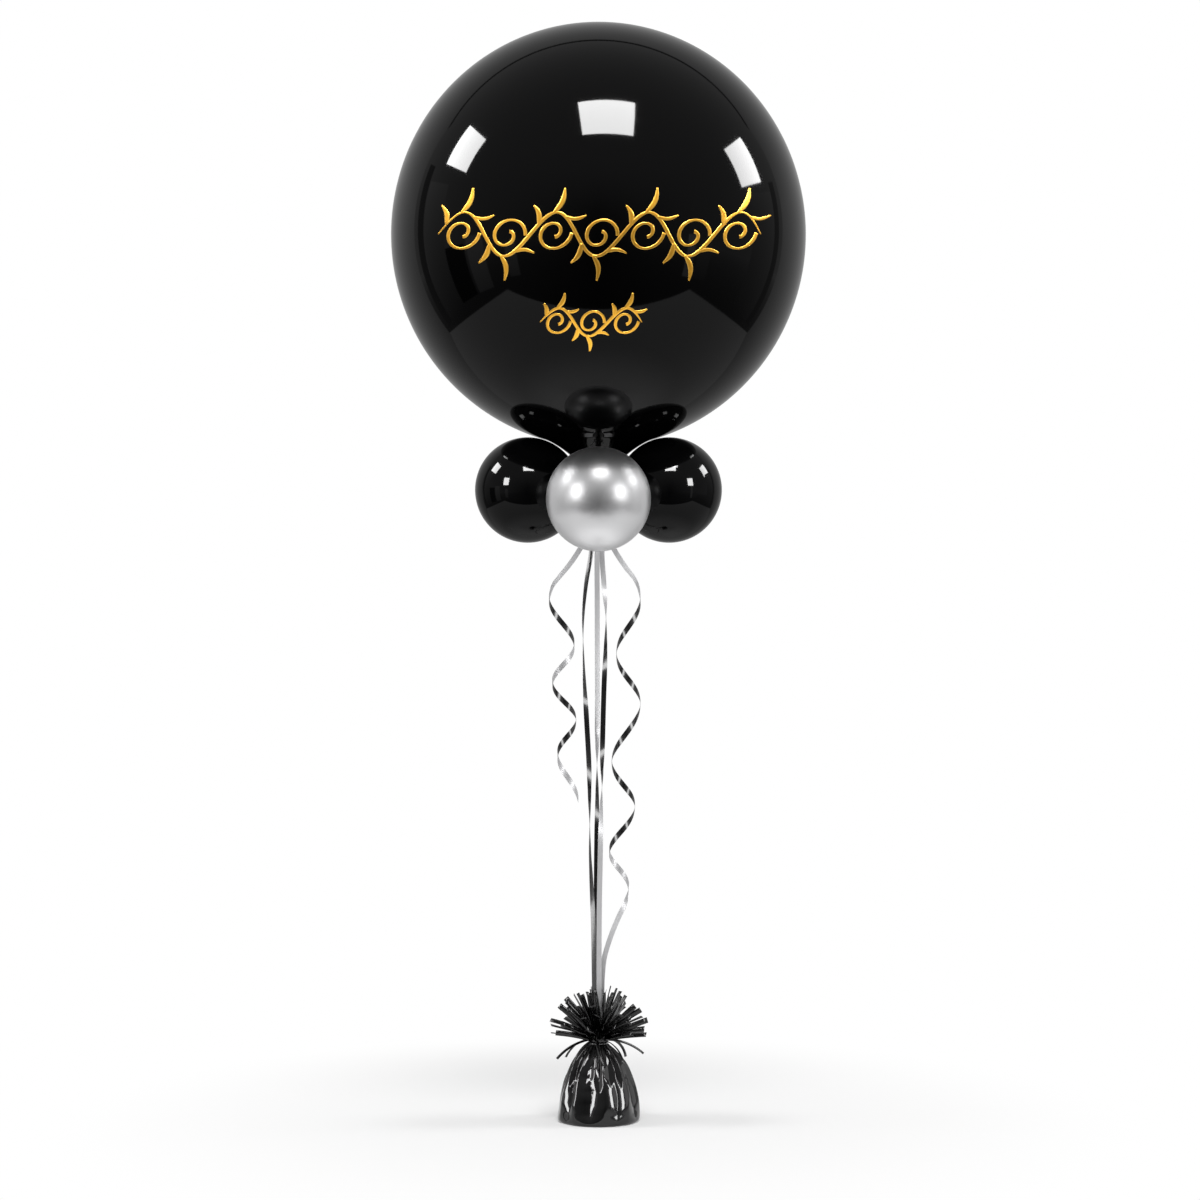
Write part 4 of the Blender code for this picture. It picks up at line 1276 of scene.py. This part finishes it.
cards = [      # start and end on the floor, foot and top, light at foot and top, bow of foot and top
    card("backdrop_low", (-1.46, .68), (1.46, .68), 0.0, 1.15, .33, .50),
    card("backdrop_high", (-1.46, .68), (1.46, .68), 1.15, 1.96, .50, .40, 0.0, .35),
    card("backdrop_bar", (-1.48, .67), (1.48, .67), 1.96, 2.06, .04, .04, .35, .35),
    card("stand_left", (-1.60, .63), (-1.66, .47), 0.0, 1.62, .09, .10),
    card("wall_left", (-1.67, .45), (-1.77, -.04), 0.0, 1.46, .12, .46),
    card("flag_left", (-1.77, -.04), (-1.73, -.46), 0.0, .72, .0, .02),
    card("strip_left", (-1.72, -.51), (-1.60, -.83), 0.0, .80, .30, .70),
    card("strip_front_left", (-1.38, -1.15), (-1.24, -1.29), .10, .64, .30, .70),
    card("stand_right", (1.60, .63), (1.65, .50), 0.0, 1.44, .09, .15),
    card("wall_right", (1.65, .49), (1.77, -.04), 0.0, 1.35, .12, .40),
    card("strip_front_right", (1.32, -1.21), (1.41, -1.11), .10, .75, .60, .95),
    card("strip_right", (1.45, -1.06), (1.58, -.85), .10, .70, .15, .40),
]
print("cards:", len(cards))

# %% [markdown]
# ## Soft boxes
# Three soft boxes make the large highlights. Black latex needs them bright, while the
# satin pieces and white paper would burn out. Light linking solves that: a light
# carries a collection that says which pieces it may reach. So each box stands there
# three times: bright for the black latex, softer for the silver balloons and the
# ribbons, and once for the floor. The foil gets none of them, only windows of its own.

# %% Soft boxes
def share_light(light, pieces, state):
    """Let a light reach only the given pieces (INCLUDE), or all but them (EXCLUDE)."""
    chosen = bpy.data.collections.new(light.name + "_pieces")
    for piece in pieces:
        chosen.objects.link(piece)
    for entry in chosen.collection_objects:
        entry.light_linking.link_state = state
    light.light_linking.receiver_collection = chosen


def soft_box(name, aimed_from, corners, distance, radiance):
    """A rectangular light whose corners lie near the given directions, seen from a point."""
    spots = [Vector(aimed_from) + Vector(c).normalized() * distance for c in corners]
    middle = sum(spots, Vector()) / 4
    right = ((spots[1] - spots[0]) + (spots[2] - spots[3])) / 2
    down = ((spots[3] - spots[0]) + (spots[2] - spots[1])) / 2
    facing = right.cross(down).normalized()
    if facing.dot(Vector((0, 0, 0.7)) - middle) < 0:
        facing = -facing
    x_axis = right.normalized()
    z_axis = -facing
    y_axis = z_axis.cross(x_axis).normalized()
    x_axis = y_axis.cross(z_axis)
    data = bpy.data.lights.new(name, "AREA")
    data.shape = "RECTANGLE"
    data.size = right.length
    data.size_y = down.length
    data.energy = radiance * math.pi * right.length * down.length
    light = bpy.data.objects.new(name, data)
    light.matrix_world = Matrix.Translation(middle) @ Matrix((x_axis, y_axis, z_axis)).transposed().to_4x4()
    light.visible_camera = False
    bpy.context.collection.objects.link(light)
    print(name, [round(c, 2) for c in middle], round(data.size, 2), "x", round(data.size_y, 2), "m")
    return light


BOX_DISTANCE = 6.0
FLOOR_SHARE = 3.2          # how much more of a box's soft light the floor gets
SATIN = collar[2:] + ribbons
FOIL_PIECES = [bell, fringe]
for name, spot, corners, bright, soft in (
        ("top", (0.008, -0.182, 0.948),
         [(-.159, -.374, .914), (.285, -.319, .904), (.274, -.644, .715), (-.132, -.664, .736)], 52, 3.4),
        ("left", (-0.121, -0.149, 0.925),
         [(-.749, .147, .647), (-.762, -.136, .633), (-.907, -.120, .403), (-.877, .199, .436)], 38, 3.2),
        ("right", (0.133, -0.142, 0.913),
         [(.791, .230, .567), (.826, -.068, .559), (.951, -.031, .306), (.908, .257, .332)], 32, 3.0)):
    for prefix, radiance, pieces, state in (
            ("box_", bright, SATIN + FOIL_PIECES + [floor], "EXCLUDE"),
            ("satin_box_", soft, SATIN, "INCLUDE"),
            ("floor_box_", soft * FLOOR_SHARE, [floor], "INCLUDE")):
        share_light(soft_box(prefix + name, spot, corners, BOX_DISTANCE, radiance), pieces, state)

# %% [markdown]
# ## Windows that light one kind of piece
# The smaller highlights each belong to one kind of piece. The small black balloons
# have two low windows and a high one, and the silver ones two small and two broad
# ones. The ribbons have a window on each side, the gold has two, and the foil has
# seven. Each is given by the range of directions that it fills, seen from a point on
# the upright axis near its pieces, and is linked to those pieces alone.

# %% Windows that light one kind of piece
def towards(azimuth, elevation):
    """A direction. Azimuth 0 is the front, and 90 is the right."""
    a, e = math.radians(azimuth), math.radians(elevation)
    return (math.sin(a) * math.cos(e), -math.cos(a) * math.cos(e), math.sin(e))


BALLS, SILVER, GOLD_PIECES = collar[:2], collar[2:], [gold_print]
for name, pieces, height, distance, (near_side, far_side), (low, high), bright in (
        ("ball_low_left", BALLS, .62, 3.0, (-54, -42), (8, 22), 55),
        ("ball_low_right", BALLS, .62, 3.0, (41, 53), (7, 21), 55),
        ("ball_top", BALLS, .62, 6.0, (-13, 19), (39, 58), 60),
        ("silver_low_left", SILVER, .62, 1.5, (-57, -37), (1, 25), 3.0),
        ("silver_low_right", SILVER, .62, 1.5, (37, 57), (0, 23), 3.0),
        ("silver_side_left", SILVER, .62, 1.3, (-125, -75), (-25, 25), 0.22),
        ("silver_side_right", SILVER, .62, 1.3, (75, 125), (-25, 25), 0.22),
        ("ribbon_left", ribbons, .40, 0.8, (-64, -46), (-25, 36), 4.2),
        ("ribbon_right", ribbons, .40, 0.8, (50, 68), (-25, 36), 4.2),
        ("foil_top", FOIL_PIECES, .06, 1.3, (-26, -10), (48, 72), 14),
        ("foil_high_left", FOIL_PIECES, .06, 1.3, (-72, -52), (32, 58), 15),
        ("foil_high_right", FOIL_PIECES, .06, 1.3, (52, 70), (32, 58), 14),
        ("foil_strip_left", FOIL_PIECES, .06, 1.3, (-62, -52), (0, 28), 16),
        ("foil_strip_right", FOIL_PIECES, .06, 1.3, (54, 62), (0, 28), 16),
        ("foil_side_left", FOIL_PIECES, .06, 1.3, (-115, -66), (0, 26), 0.9),
        ("foil_side_right", FOIL_PIECES, .06, 1.3, (66, 115), (0, 26), 0.9),
        ("gold_left", GOLD_PIECES, .86, 0.9, (-62, -22), (-22, 12), 0.50),
        ("gold_low", GOLD_PIECES, .80, 0.7, (-38, 38), (-66, -30), 1.0)):
    window = [towards(side, tilt) for side, tilt in (
        (near_side, high), (far_side, high), (far_side, low), (near_side, low))]
    share_light(soft_box(name, (0, 0, height), window, distance, bright), pieces, "INCLUDE")

# %% [markdown]
# ## Colour handling
# The plain sRGB view keeps the whites white and the blacks deep, which suits a
# cut-out product shot.

# %% Finish
bpy.context.scene.view_settings.view_transform = "Standard"
